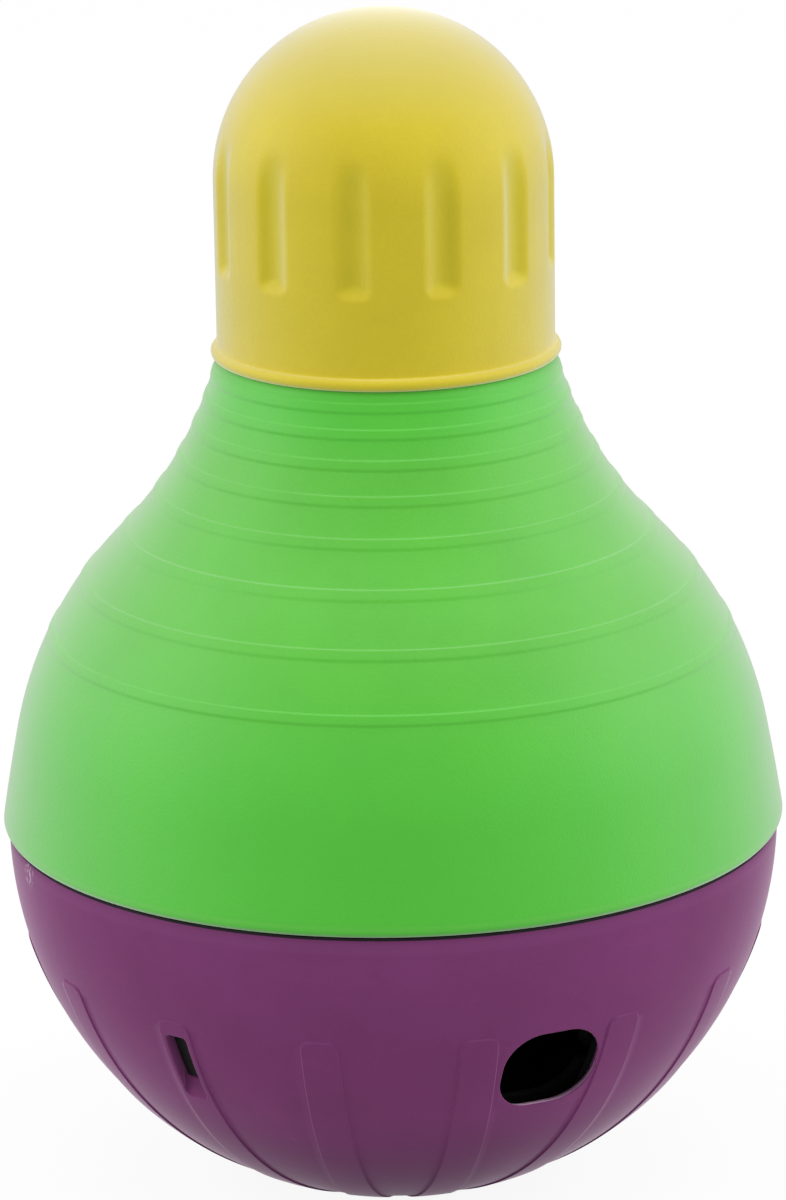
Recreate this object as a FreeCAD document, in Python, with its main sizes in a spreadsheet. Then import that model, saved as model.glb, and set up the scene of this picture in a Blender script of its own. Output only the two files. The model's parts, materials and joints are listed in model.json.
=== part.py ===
import FreeCAD, Part
import math
import os
import Sketcher

# Wobble treat dispenser: a weighted bowl with a side outlet, and a bell shaped chamber screwed on it.
# Millimetres, +Z up, origin at the centre of the foot. The outlet faces -Y.
# Each piece is drawn about the centre of the bowl's sphere, which lies in the seam between bowl and
# shell, and its Placement lifts it by the height of that centre over the foot.

SIZES = {
    # lower bowl
    "ball_radius": 88.0,
    "foot_radius": 20.0,
    "bowl_wall": 3.0,
    "foot_thickness": 3.0,
    "seam_gap": 0.6,
    "outlet_width": 23.3,
    "outlet_height": 19.6,
    "outlet_corner": 8.5,
    "outlet_below_middle": 3.15,
    "rib_count": 15,
    "rib_width": 8.3,
    "rib_rise": 0.35,
    "rib_above_window": 3.35,
    "rib_corner": 2.0,
    "rib_inner": 36.0,
    "window_count": 3,
    "window_width": 5.9,
    "window_height": 12.3,
    "window_above_outlet": 1.05,
    "window_corner": 1.2,
    "window_ramp": 4.5,
    # ballast in the bottom of the bowl
    "ballast_radius": 44.2,
    "ballast_height": 14.7,
    "ballast_play": 0.3,
    "well_play": 0.4,
    "well_wall": 2.2,
    "pad_thickness": 2.8,
    "gasket_thickness": 0.8,
    "cover_thickness": 2.0,
    "cover_overhang": 0.4,
    # inner cup
    "cup_gap": 3.2,
    "cup_wall": 2.0,
    "cup_hump": 6.0,
    "hoop_height": 2.0,
    "hoop_play": 0.4,
    "foot_ring": 40.0,
    "foot_ring_wall": 3.0,
    "foot_ring_height": 4.2,
    "lug_play": 0.35,
    "lug_depth": 2.1,
    # outlet shutter between cup and bowl
    "shutter_play": 0.4,
    "shutter_lap": 4.2,
    "shutter_open": 22.0,
    "stem_radius": 2.6,
    "stem_play": 0.4,
    "tab_width": 16.0,
    "tab_height": 10.0,
    "tab_thickness": 4.0,
    "tab_corner": 4.5,
    "tab_play": 1.0,
    # divider deck and its collar
    "deck_top": 6.0,
    "deck_thickness": 2.5,
    "deck_play": 0.4,
    "collar_wall": 2.5,
    "collar_height": 12.7,
    "thread_lead": 24.0,
    "thread_starts": 4,
    "thread_play": 0.4,
    "ridge_height": 2.4,
    "ridge_tip_height": 1.6,
    "ridge_rise": 1.8,
    "ridge_turn": 80.0,
    "lug_turn": 40.0,
    "ridge_level": 5.3,
    "ridge_play": 0.3,
    "transfer_inner": 26.0,
    "gate_screw_gap": 7.5,
    "transfer_angle": 30.0,
    # transfer gate on its bolt
    "gate_lap": 4.0,
    "gate_angle": 36.0,
    "gate_thickness": 2.0,
    "gate_rise": 0.3,
    "gate_hub": 11.0,
    "gate_pad": 8.0,
    "gate_open": 80.0,
    "gate_tab_height": 10.0,
    "gate_tab_width": 3.0,
    "gate_tab_length": 18.0,
    "bolt_radius": 3.0,
    "bolt_head": 5.5,
    "bolt_head_height": 3.0,
    "bolt_play": 0.08,
    "bolt_tail": 0.8,
    "boss_height": 2.5,
    "boss_radius": 7.0,
    "spring_height": 0.8,
    "spring_radius": 6.5,
    "nut_flats": 10.0,
    "nut_turn": 15.0,
    "nut_height": 3.0,
    # screws
    "screw_radius": 1.5,
    "screw_head": 3.0,
    "screw_head_height": 2.0,
    "screw_socket": 1.4,
    "screw_play": 0.05,
    "screw_boss": 3.4,
    "seat_gap": 0.2,
    "pilot_run": 0.5,
    "deck_screw_count": 6,
    "deck_screw_inset": 4.85,
    "deck_screw_length": 9.0,
    "cup_screw_count": 4,
    "cup_screw_gap": 0.6,
    "cup_screw_room": 1.65,
    "cup_screw_length": 9.0,
    "tab_screw_radius": 1.2,
    "tab_screw_length": 8.0,
    # upper shell
    "rim_overhang": 1.2,
    "rim_round": 1.6,
    "flank_curve": 514.0,
    "belly_inset": 3.76,
    "belly_height": 22.5,
    "belly_lean": 10.95,
    "waist_radius": 61.9,
    "waist_height": 66.4,
    "waist_lean": 45.5,
    "neck_shoulder": 0.6,
    "neck_height": 108.0,
    "neck_lean": 14.0,
    "shell_wall": 3.0,
    "skirt_wall": 5.8,
    "skirt_run": 4.3,
    "ring_count": 8,
    "first_ring": 45.4,
    "last_ring_drop": 3.5,
    "ring_shrink": 0.875,
    "ring_height": 2.05,
    "ring_rise": 0.25,
    # seam seal
    "seal_inset": 2.2,
    "seal_width": 1.7,
    "seal_depth": 1.0,
    "seal_play": 0.3,
    # top cap
    "cap_radius": 37.9,
    "cap_wall": 3.0,
    "cap_play": 0.15,
    "cap_straight": 39.9,
    "cap_bead": 2.8,
    "snap_rise": 6.0,
    "snap_radius": 0.7,
    "post_wall": 3.0,
    "grip_count": 12,
    "grip_width": 7.8,
    "grip_depth": 1.5,
    "grip_rise": 20.4,
    "grip_corner": 2.5,
    "grip_turn": -4.9,
    # least straight length between two rounded corners
    "least_flat": 0.02,
}

doc = FreeCAD.newDocument("wobble_treat_dispenser")
sheet = doc.addObject("Spreadsheet::Sheet", "Sizes")
for row, (alias, number) in enumerate(SIZES.items(), start=1):
    sheet.set(f"A{row}", alias)
    sheet.set(f"B{row}", str(number))
    sheet.setAlias(f"B{row}", alias)
levels = doc.addObject("Spreadsheet::Sheet", "Levels")
kept = []
doc.recompute()


class Size:
    """A number and the expression that gives it from the sheet, kept together through sums."""

    def __init__(self, value, text=None):
        self.value = float(value)
        self.text = text if text is not None else repr(float(value))

    def __add__(self, other):
        other = as_size(other)
        return Size(self.value + other.value, f"({self.text} + {other.text})")

    def __sub__(self, other):
        other = as_size(other)
        return Size(self.value - other.value, f"({self.text} - {other.text})")

    def __mul__(self, other):
        other = as_size(other)
        return Size(self.value * other.value, f"({self.text} * {other.text})")

    def __truediv__(self, other):
        other = as_size(other)
        return Size(self.value / other.value, f"({self.text} / {other.text})")

    def __neg__(self):
        return Size(-self.value, f"(0 - {self.text})")


def as_size(number):
    return number if isinstance(number, Size) else Size(number)


def root(size):
    return Size(math.sqrt(size.value), f"sqrt({size.text})")


def sine(angle):
    return Size(math.sin(math.radians(angle.value)), f"sin({angle.text} * 1 deg)")


def cosine(angle):
    return Size(math.cos(math.radians(angle.value)), f"cos({angle.text} * 1 deg)")


def named(alias):
    """A size of the sheet."""
    return Size(float(sheet.get(alias)), f"Sizes.{alias}")


def keep(alias, size):
    """Writes a worked out size in the second sheet, where other sizes can use it by its name."""
    kept.append(alias)
    levels.set(f"A{len(kept)}", alias)
    levels.set(f"B{len(kept)}", f"={size.text}")
    levels.setAlias(f"B{len(kept)}", alias)
    return Size(size.value, f"Levels.{alias}")


def larger(one, other):
    if one.value > other.value:
        value = one.value
    else:
        value = other.value
    return Size(value, f"({one.text} > {other.text} ? {one.text} : {other.text})")


def across(radius, height):
    """How far from the upright axis a sphere of that radius is, at that height from its centre."""
    return root(radius * radius - height * height)


class Profile:
    """A closed outline in a sketch, drawn corner by corner, with each corner held by the sheet."""

    def __init__(self, sketch, x, y):
        self.sketch = sketch
        self.start = (as_size(x), as_size(y))
        self.here = self.start
        self.heading = None
        self.first_end = None
        self.last_end = None

    def hold(self, constraint, text):
        index = self.sketch.addConstraint(constraint)
        self.sketch.setExpression(f"Constraints[{index}]", text)

    def pin(self, end, corner):
        x, y = corner
        if x.value == 0:
            self.sketch.addConstraint(Sketcher.Constraint("PointOnObject", end[0], end[1], -2))
        else:
            self.hold(Sketcher.Constraint("DistanceX", -1, 1, end[0], end[1], x.value), x.text)
        if y.value == 0:
            self.sketch.addConstraint(Sketcher.Constraint("PointOnObject", end[0], end[1], -1))
        else:
            self.hold(Sketcher.Constraint("DistanceY", -1, 1, end[0], end[1], y.value), y.text)

    def join(self, begin, end, corner, tangent=False):
        if self.last_end is None:
            self.first_end = begin
            self.pin(begin, self.start)
        else:
            kind = "Tangent" if tangent else "Coincident"
            self.sketch.addConstraint(Sketcher.Constraint(kind, *self.last_end, *begin))
        if corner == self.start:
            self.sketch.addConstraint(Sketcher.Constraint("Coincident", *end, *self.first_end))
        else:
            self.pin(end, corner)
        self.here = corner
        self.last_end = end

    def line(self, x, y):
        corner = (as_size(x), as_size(y))
        a = FreeCAD.Vector(self.here[0].value, self.here[1].value, 0)
        b = FreeCAD.Vector(corner[0].value, corner[1].value, 0)
        index = self.sketch.addGeometry(Part.LineSegment(a, b))
        self.heading = (b - a).normalize()
        self.join((index, 1), (index, 2), corner)
        return self

    def draw_arc(self, centre, radius, left, corner, tangent):
        a = FreeCAD.Vector(self.here[0].value, self.here[1].value, 0)
        b = FreeCAD.Vector(corner[0].value, corner[1].value, 0)
        from_angle = math.atan2(a.y - centre.y, a.x - centre.x)
        to_angle = math.atan2(b.y - centre.y, b.x - centre.x)
        circle = Part.Circle(centre, FreeCAD.Vector(0, 0, 1), radius)
        if left:
            index = self.sketch.addGeometry(Part.ArcOfCircle(circle, from_angle, to_angle))
            ends = ((index, 1), (index, 2))
            self.heading = FreeCAD.Vector(-math.sin(to_angle), math.cos(to_angle), 0)
        else:
            index = self.sketch.addGeometry(Part.ArcOfCircle(circle, to_angle, from_angle))
            ends = ((index, 2), (index, 1))
            self.heading = FreeCAD.Vector(math.sin(to_angle), -math.cos(to_angle), 0)
        self.join(ends[0], ends[1], corner, tangent)
        return index

    def arc(self, x, y, radius, left=True):
        """An arc of that radius, shorter than a half circle, turning left or right."""
        corner = (as_size(x), as_size(y))
        radius = as_size(radius)
        a = FreeCAD.Vector(self.here[0].value, self.here[1].value, 0)
        b = FreeCAD.Vector(corner[0].value, corner[1].value, 0)
        chord = b - a
        rise = math.sqrt(max(radius.value ** 2 - chord.Length ** 2 / 4, 0))
        side = FreeCAD.Vector(-chord.y, chord.x, 0).normalize() * (rise if left else -rise)
        index = self.draw_arc((a + b) * 0.5 + side, radius.value, left, corner, False)
        self.hold(Sketcher.Constraint("Radius", index, radius.value), radius.text)
        return self

    def blend(self, x, y):
        """The one arc that leaves the piece before it without a corner and ends at that point."""
        corner = (as_size(x), as_size(y))
        a = FreeCAD.Vector(self.here[0].value, self.here[1].value, 0)
        chord = FreeCAD.Vector(corner[0].value, corner[1].value, 0) - a
        normal = FreeCAD.Vector(-self.heading.y, self.heading.x, 0)
        reach = chord.Length ** 2 / (2 * chord.dot(normal))
        self.draw_arc(a + normal * reach, abs(reach), reach > 0, corner, True)
        return self

    def close(self):
        return self.line(*self.start)


ball = named("ball_radius")
foot = named("foot_radius")
centre_height = keep("centre_height", across(ball, foot))
outside = ball * 2


def new_body(label, turn=None):
    body = doc.addObject("PartDesign::Body", label)
    body.Label = label
    if turn is not None:
        body.Placement = FreeCAD.Placement(
            FreeCAD.Vector(0, 0, centre_height.value),
            FreeCAD.Rotation(FreeCAD.Vector(0, 0, 1), turn.value),
        )
        body.setExpression("Placement.Rotation.Angle", turn.text)
    body.setExpression("Placement.Base.z", centre_height.text)
    return body


def origin_feature(body, role):
    return next(item for item in body.Origin.OriginFeatures if item.Role == role)


def new_sketch(body, role, name, lift=None):
    """A sketch on one of the body's own planes, moved along the plane's normal by lift.
    XZ_Plane looks from the front, so its normal points to -Y."""
    sketch = body.newObject("Sketcher::SketchObject", name)
    sketch.AttachmentSupport = (origin_feature(body, role), [""])
    sketch.MapMode = "FlatFace"
    if lift is not None:
        sketch.AttachmentOffset = FreeCAD.Placement(FreeCAD.Vector(0, 0, lift.value), FreeCAD.Rotation())
        sketch.setExpression("AttachmentOffset.Base.z", lift.text)
    return sketch


def revolve(body, sketch, name, cut=False, angle=None, both_ways=True):
    """Turns a sketch about the upright axis, all the way round or through an angle."""
    kind = "PartDesign::Groove" if cut else "PartDesign::Revolution"
    feature = body.newObject(kind, name)
    feature.Profile = sketch
    feature.ReferenceAxis = (sketch, ["V_Axis"])
    feature.Angle = 360
    if angle is not None:
        feature.Angle = angle.value
        feature.setExpression("Angle", angle.text)
        feature.Midplane = both_ways
    return feature


def extrude(body, sketch, name, length, cut=False, backwards=False):
    kind = "PartDesign::Pocket" if cut else "PartDesign::Pad"
    feature = body.newObject(kind, name)
    feature.Profile = sketch
    feature.Length = length.value
    feature.setExpression("Length", length.text)
    feature.Reversed = backwards
    return feature


def repeat_round(body, feature, name, count):
    pattern = body.newObject("PartDesign::PolarPattern", name)
    pattern.Originals = [feature]
    pattern.Axis = (origin_feature(body, "Z_Axis"), [""])
    pattern.Angle = 360
    pattern.Occurrences = int(count.value)
    pattern.setExpression("Occurrences", count.text)
    body.Tip = pattern
    return pattern


def circle_at(sketch, x, y, radius):
    """A circle with its centre and radius held by the sheet."""
    x, y = as_size(x), as_size(y)
    centre = FreeCAD.Vector(x.value, y.value, 0)
    index = sketch.addGeometry(Part.Circle(centre, FreeCAD.Vector(0, 0, 1), radius.value))
    holder = Profile(sketch, x, y)
    holder.pin((index, 3), (x, y))
    holder.hold(Sketcher.Constraint("Radius", index, radius.value), radius.text)


def rounded_box(sketch, width, bottom, top, corner, round_bottom=True):
    """An upright box centred on the sketch's vertical axis, with round corners."""
    half = width / 2
    outline = Profile(sketch, -half, bottom + corner if round_bottom else bottom)
    if round_bottom:
        outline.arc(-half + corner, bottom, corner)
        outline.line(half - corner, bottom)
        outline.arc(half, bottom + corner, corner)
    else:
        outline.line(half, bottom)
    outline.line(half, top - corner)
    outline.arc(half - corner, top, corner)
    outline.line(-half + corner, top)
    outline.arc(-half, top - corner, corner)
    outline.close()


def helical_rib(body, name, sketch, lead, turn, starts):
    """A thread ridge of part of a turn, repeated once for each start of the thread."""
    helix = body.newObject("PartDesign::AdditiveHelix", name)
    helix.Profile = sketch
    helix.ReferenceAxis = (sketch, ["V_Axis"])
    helix.Mode = "pitch-height-angle"
    rise = lead * turn / 360
    helix.Pitch = lead.value
    helix.setExpression("Pitch", lead.text)
    helix.Height = rise.value
    helix.setExpression("Height", rise.text)
    return repeat_round(body, helix, name + "_starts", starts)


# Lower bowl: a hemisphere with a flat foot, ribs, the outlet and the cup's lug windows.

wall = named("bowl_wall")
inner_ball = ball - wall
rim_level = -(named("seam_gap") / 2)
foot_level = -centre_height
inside_floor = foot_level + named("foot_thickness")
well_bore = named("ballast_radius") + named("well_play")
well_outer = well_bore + named("well_wall")
ballast_level = inside_floor + named("ballast_height")
cover_under = ballast_level + named("pad_thickness")
cover_level = cover_under + named("cover_thickness")
well_level = cover_under - named("gasket_thickness")
cover_radius = well_outer + named("cover_overhang")

# The cup's floor stands on its foot ring, and higher where its screws need more room beside them.

cup_outer = inner_ball - named("cup_gap")
cup_inner = cup_outer - named("cup_wall")
cup_circle = keep("cup_circle", cover_radius + named("screw_boss") + named("cup_screw_gap"))
ring_floor = cover_level + named("foot_ring_height") + named("cup_wall")
screw_floor = -across(cup_inner, cup_circle + named("screw_head") + named("cup_screw_room"))
cup_floor_level = keep("cup_floor_level", larger(ring_floor, screw_floor))
cup_under_level = cup_floor_level - named("cup_wall")
deck_under = -(named("deck_top") + named("deck_thickness"))

# The outlet lies below the middle of the lower chamber, and the windows and ribs follow it.

chamber_middle = (cup_floor_level + deck_under) / 2
outlet_level = keep("outlet_level", chamber_middle - named("outlet_below_middle"))
window_level = outlet_level + named("window_above_outlet")
window_foot = window_level - named("window_height") / 2
rib_top = window_level + named("window_height") / 2 + named("rib_above_window")

bowl = new_body("lower_bowl")
sketch = new_sketch(bowl, "XZ_Plane", "bowl_outline")
outline = Profile(sketch, 0, foot_level)
outline.line(foot, foot_level)
outline.arc(across(ball, rim_level), rim_level, ball)
outline.line(0, rim_level)
outline.close()
revolve(bowl, sketch, "bowl_solid")

sketch = new_sketch(bowl, "XZ_Plane", "rib_face", -named("rib_inner"))
rounded_box(sketch, named("rib_width"), foot_level + named("rib_rise"), rib_top,
            named("rib_corner"), round_bottom=False)
rib = extrude(bowl, sketch, "rib", ball, backwards=True)
repeat_round(bowl, rib, "ribs", named("rib_count"))

rib_ball = ball + named("rib_rise")
rib_clear = rib_top + named("rib_corner")
sketch = new_sketch(bowl, "XZ_Plane", "rib_trim_face")
outline = Profile(sketch, across(rib_ball, foot_level), foot_level)
outline.arc(across(rib_ball, rib_clear), rib_clear, rib_ball)
outline.line(outside, rib_clear)
outline.line(outside, foot_level)
outline.close()
revolve(bowl, sketch, "rib_trim", cut=True)

sketch = new_sketch(bowl, "XZ_Plane", "bowl_hollow_face")
outline = Profile(sketch, 0, inside_floor)
outline.line(across(inner_ball, inside_floor), inside_floor)
outline.arc(well_bore, -across(inner_ball, well_bore), inner_ball)
outline.line(well_bore, well_level)
outline.line(well_outer, well_level)
outline.line(well_outer, -across(inner_ball, well_outer))
outline.arc(across(inner_ball, rim_level), rim_level, inner_ball)
outline.line(0, rim_level)
outline.close()
revolve(bowl, sketch, "bowl_hollow", cut=True)

sketch = new_sketch(bowl, "XY_Plane", "cup_boss_face", cup_under_level)
circle_at(sketch, cup_circle, 0, named("screw_boss"))
boss = bowl.newObject("PartDesign::Pad", "cup_boss")
boss.Profile = sketch
boss.Type = "UpToFirst"
boss.Reversed = True
repeat_round(bowl, boss, "cup_bosses", named("cup_screw_count"))

pilot = named("screw_radius") + named("screw_play")
sketch = new_sketch(bowl, "XY_Plane", "cup_pilot_face", cup_under_level)
circle_at(sketch, cup_circle, 0, pilot)
pilot_depth = named("cup_screw_length") - named("cup_wall") + named("pilot_run")
hole = extrude(bowl, sketch, "cup_pilot", pilot_depth, cut=True)
repeat_round(bowl, hole, "cup_pilots", named("cup_screw_count"))

sketch = new_sketch(bowl, "XZ_Plane", "outlet_face")
rounded_box(sketch, named("outlet_width"), outlet_level - named("outlet_height") / 2,
            outlet_level + named("outlet_height") / 2, named("outlet_corner"))
extrude(bowl, sketch, "outlet", outside, cut=True, backwards=True)

window_corner = named("window_corner")
sketch = new_sketch(bowl, "XZ_Plane", "window_face")
rounded_box(sketch, named("window_width"), window_foot, window_level + named("window_height") / 2,
            window_corner, round_bottom=False)
window = extrude(bowl, sketch, "window", outside, cut=True)
repeat_round(bowl, window, "windows", named("window_count"))

# Below each window the wall slopes from the lug's face out to the rib's skin.

lug_ball = ball - named("lug_depth")
ramp_top = across(lug_ball, window_foot)
ramp_run = across(rib_ball, window_foot - named("window_ramp")) - ramp_top
sketch = new_sketch(bowl, "YZ_Plane", "ramp_face", named("window_width") / 2)
outline = Profile(sketch, ramp_top, window_foot)
outline.line(ramp_top + ramp_run * 2, window_foot - named("window_ramp") * 2)
outline.line(ramp_top + ramp_run * 2, window_foot)
outline.close()
ramp = extrude(bowl, sketch, "ramp", named("window_width"), cut=True)
repeat_round(bowl, ramp, "ramps", named("window_count"))

# Ballast: a cast slug in its well, a foam pad, and a lid on a flat seal.

ballast_ball = inner_ball - named("ballast_play")
ballast_radius = named("ballast_radius")

ballast = new_body("ballast_weight")
sketch = new_sketch(ballast, "XZ_Plane", "ballast_outline")
outline = Profile(sketch, 0, inside_floor)
outline.line(across(ballast_ball, inside_floor), inside_floor)
outline.arc(ballast_radius, -across(ballast_ball, ballast_radius), ballast_ball)
outline.line(ballast_radius, ballast_level)
outline.line(0, ballast_level)
outline.close()
revolve(ballast, sketch, "ballast_solid")

pad = new_body("ballast_pad")
sketch = new_sketch(pad, "XY_Plane", "pad_face", ballast_level)
circle_at(sketch, 0, 0, ballast_radius)
extrude(pad, sketch, "pad_disc", named("pad_thickness"))

seal = new_body("ballast_seal")
sketch = new_sketch(seal, "XY_Plane", "seal_face", well_level)
circle_at(sketch, 0, 0, well_outer)
circle_at(sketch, 0, 0, well_bore)
extrude(seal, sketch, "seal_ring", named("gasket_thickness"))

cover = new_body("ballast_cover")
sketch = new_sketch(cover, "XY_Plane", "cover_face", cover_under)
circle_at(sketch, 0, 0, cover_radius)
extrude(cover, sketch, "cover_disc", named("cover_thickness"))

# Inner cup: the dark liner. Its hoops guide the shutter, its lugs sit in the bowl's windows, its
# foot ring holds the ballast cover down, and its bosses take the deck's screws.

hoop_ball = inner_ball - named("hoop_play")
door_half = named("outlet_height") / 2 + named("shutter_lap")
upper_hoop = outlet_level + door_half + named("shutter_play")
lower_hoop = outlet_level - door_half - named("shutter_play")
hoop = named("hoop_height")
foot_ring = named("foot_ring")
foot_ring_outer = foot_ring + named("foot_ring_wall")
hump = named("cup_hump")
flat = cup_circle - named("screw_head") - named("seat_gap")

cup = new_body("inner_cup")
sketch = new_sketch(cup, "XZ_Plane", "cup_outline")
outline = Profile(sketch, 0, cover_level)
outline.line(foot_ring_outer, cover_level)
outline.line(foot_ring_outer, cup_under_level)
outline.line(across(cup_outer, cup_under_level), cup_under_level)
outline.arc(across(cup_outer, lower_hoop - hoop), lower_hoop - hoop, cup_outer)
outline.line(across(hoop_ball, lower_hoop - hoop), lower_hoop - hoop)
outline.arc(across(hoop_ball, lower_hoop), lower_hoop, hoop_ball)
outline.line(across(cup_outer, lower_hoop), lower_hoop)
outline.arc(across(cup_outer, upper_hoop), upper_hoop, cup_outer)
outline.line(across(hoop_ball, upper_hoop), upper_hoop)
outline.arc(across(hoop_ball, upper_hoop + hoop), upper_hoop + hoop, hoop_ball)
outline.line(across(cup_outer, upper_hoop + hoop), upper_hoop + hoop)
outline.arc(across(cup_outer, deck_under), deck_under, cup_outer)
outline.line(0, deck_under)
outline.close()
revolve(cup, sketch, "cup_solid")

lug_play = named("lug_play")
lug_half = named("window_height") / 2 - lug_play
sketch = new_sketch(cup, "XZ_Plane", "lug_face")
rounded_box(sketch, named("window_width") - lug_play * 2, window_level - lug_half,
            window_level + lug_half, window_corner - lug_play, round_bottom=False)
lug = extrude(cup, sketch, "lug", ball, backwards=True)
repeat_round(cup, lug, "lugs", named("window_count"))

lug_clear = lug_half + lug_play * 2
sketch = new_sketch(cup, "XZ_Plane", "lug_trim_face")
outline = Profile(sketch, across(lug_ball, window_level - lug_clear), window_level - lug_clear)
outline.arc(across(lug_ball, window_level + lug_clear), window_level + lug_clear, lug_ball)
outline.line(outside, window_level + lug_clear)
outline.line(outside, window_level - lug_clear)
outline.close()
revolve(cup, sketch, "lug_trim", cut=True)

sketch = new_sketch(cup, "XZ_Plane", "cup_hollow_face")
outline = Profile(sketch, 0, cup_floor_level + hump)
outline.line(flat, cup_floor_level)
outline.line(across(cup_inner, cup_floor_level), cup_floor_level)
outline.arc(across(cup_inner, deck_under), deck_under, cup_inner)
outline.line(0, deck_under)
outline.close()
revolve(cup, sketch, "cup_hollow", cut=True)

sketch = new_sketch(cup, "XZ_Plane", "foot_ring_bore_face")
outline = Profile(sketch, 0, cover_level)
outline.line(foot_ring, cover_level)
outline.line(foot_ring, cup_under_level)
outline.line(0, cup_under_level + hump)
outline.close()
revolve(cup, sketch, "foot_ring_bore", cut=True)

screw_boss = named("screw_boss")
deck_circle = keep("deck_circle", across(cup_inner, deck_under) - named("deck_screw_inset"))
boss_reach = across(cup_outer, deck_under - named("deck_screw_length")) - named("cup_wall") / 2
sketch = new_sketch(cup, "XY_Plane", "deck_boss_face", deck_under)
outline = Profile(sketch, boss_reach, -screw_boss)
outline.line(boss_reach, screw_boss)
outline.line(deck_circle, screw_boss)
outline.arc(deck_circle - screw_boss, 0, screw_boss)
outline.arc(deck_circle, -screw_boss, screw_boss)
outline.close()
boss = extrude(cup, sketch, "deck_boss", named("deck_screw_length"), backwards=True)
repeat_round(cup, boss, "deck_bosses", named("deck_screw_count"))

sketch = new_sketch(cup, "XY_Plane", "deck_pilot_face", deck_under)
circle_at(sketch, deck_circle, 0, pilot)
pilot_depth = named("deck_screw_length") - named("deck_thickness") + named("pilot_run")
hole = extrude(cup, sketch, "deck_pilot", pilot_depth, cut=True)
repeat_round(cup, hole, "deck_pilots", named("deck_screw_count"))

sketch = new_sketch(cup, "XY_Plane", "cup_hole_face", cup_floor_level)
circle_at(sketch, cup_circle, 0, pilot)
hole = extrude(cup, sketch, "cup_hole", named("cup_wall") * 2, cut=True)
repeat_round(cup, hole, "cup_holes", named("cup_screw_count"))

cup_port = named("shutter_play")
sketch = new_sketch(cup, "XZ_Plane", "cup_port_face")
rounded_box(sketch, named("outlet_width") + cup_port * 2,
            outlet_level - named("outlet_height") / 2 - cup_port,
            outlet_level + named("outlet_height") / 2 + cup_port, named("outlet_corner"))
extrude(cup, sketch, "cup_port", outside, cut=True, backwards=True)

# The slot runs from the port towards +X, as far as the shutter's stem goes.

shutter_open = named("shutter_open")
stem = named("stem_radius")
slot_half = stem + named("stem_play")
stem_inner = across(cup_inner, outlet_level - named("tab_height") / 2) - named("tab_play")
slot_angle = shutter_open + slot_half / stem_inner * (180 / math.pi)
sketch = new_sketch(cup, "YZ_Plane", "stem_slot_face")
outline = Profile(sketch, -(stem_inner - slot_half), outlet_level - slot_half)
outline.line(-(stem_inner - slot_half), outlet_level + slot_half)
outline.line(-ball, outlet_level + slot_half)
outline.line(-ball, outlet_level - slot_half)
outline.close()
revolve(cup, sketch, "stem_slot", cut=True, angle=slot_angle, both_ways=False)

# Outlet shutter: a patch of a sphere between bowl and cup, turning about the upright axis.

door_outer = inner_ball - named("shutter_play")
door_inner = cup_outer + named("shutter_play")
door_radius = across(ball, outlet_level)
door_angle = (named("outlet_width") / 2 + named("shutter_lap")) / door_radius * (360 / math.pi)

shutter = new_body("outlet_shutter", shutter_open)
sketch = new_sketch(shutter, "YZ_Plane", "door_face")
outline = Profile(sketch, -across(door_inner, outlet_level - door_half), outlet_level - door_half)
outline.arc(-across(door_inner, outlet_level + door_half), outlet_level + door_half, door_inner,
            left=False)
outline.line(-across(door_outer, outlet_level + door_half), outlet_level + door_half)
outline.arc(-across(door_outer, outlet_level - door_half), outlet_level - door_half, door_outer)
outline.close()
revolve(shutter, sketch, "door", angle=door_angle)

sketch = new_sketch(shutter, "XZ_Plane", "stem_face", stem_inner)
circle_at(sketch, 0, outlet_level, stem)
door_middle = across((door_inner + door_outer) / 2, outlet_level)
extrude(shutter, sketch, "stem", door_middle - stem_inner)

tab_pilot = named("tab_screw_radius") + named("screw_play")
sketch = new_sketch(shutter, "XZ_Plane", "stem_pilot_face", stem_inner)
circle_at(sketch, 0, outlet_level, tab_pilot)
extrude(shutter, sketch, "stem_pilot", named("tab_screw_length"), cut=True, backwards=True)

tab = new_body("shutter_tab", shutter_open)
tab_face = stem_inner - named("tab_thickness")
tab_half = named("tab_height") / 2
sketch = new_sketch(tab, "XZ_Plane", "tab_face", tab_face)
rounded_box(sketch, named("tab_width"), outlet_level - tab_half, outlet_level + tab_half,
            named("tab_corner"))
circle_at(sketch, 0, outlet_level, tab_pilot)
extrude(tab, sketch, "tab_plate", named("tab_thickness"))

tab_screw = new_body("tab_screw", shutter_open)
tab_head_face = tab_face - named("screw_head_height")
sketch = new_sketch(tab_screw, "XZ_Plane", "tab_screw_head_face", tab_head_face)
circle_at(sketch, 0, outlet_level, named("screw_head"))
extrude(tab_screw, sketch, "tab_screw_head", named("screw_head_height"))
sketch = new_sketch(tab_screw, "XZ_Plane", "tab_screw_shank_face", tab_face)
circle_at(sketch, 0, outlet_level, named("tab_screw_radius"))
extrude(tab_screw, sketch, "tab_screw_shank", named("tab_screw_length"))

# Divider deck: the floor between the chambers, with the threaded collar round it.

deck_level = -named("deck_top")
deck_radius = across(inner_ball, deck_under) - named("deck_play")
rim = ball + named("rim_overhang")
skirt_bore = rim - named("skirt_wall")
ridge_tip = skirt_bore - named("thread_play")
collar = ridge_tip - named("ridge_rise")
collar_bore = collar - named("collar_wall")
collar_top = named("collar_height")
boss_level = deck_under - named("boss_height")
bolt_bore = named("bolt_radius") + named("bolt_play")
thread_lead = named("thread_lead")
thread_starts = named("thread_starts")
ridge_half = named("ridge_height") / 2
ridge_tip_half = named("ridge_tip_height") / 2
root_depth = named("thread_play")
gate_radius = deck_circle - named("screw_head") - named("gate_screw_gap")
transfer_outer = keep("transfer_outer", gate_radius - named("gate_lap"))

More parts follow.
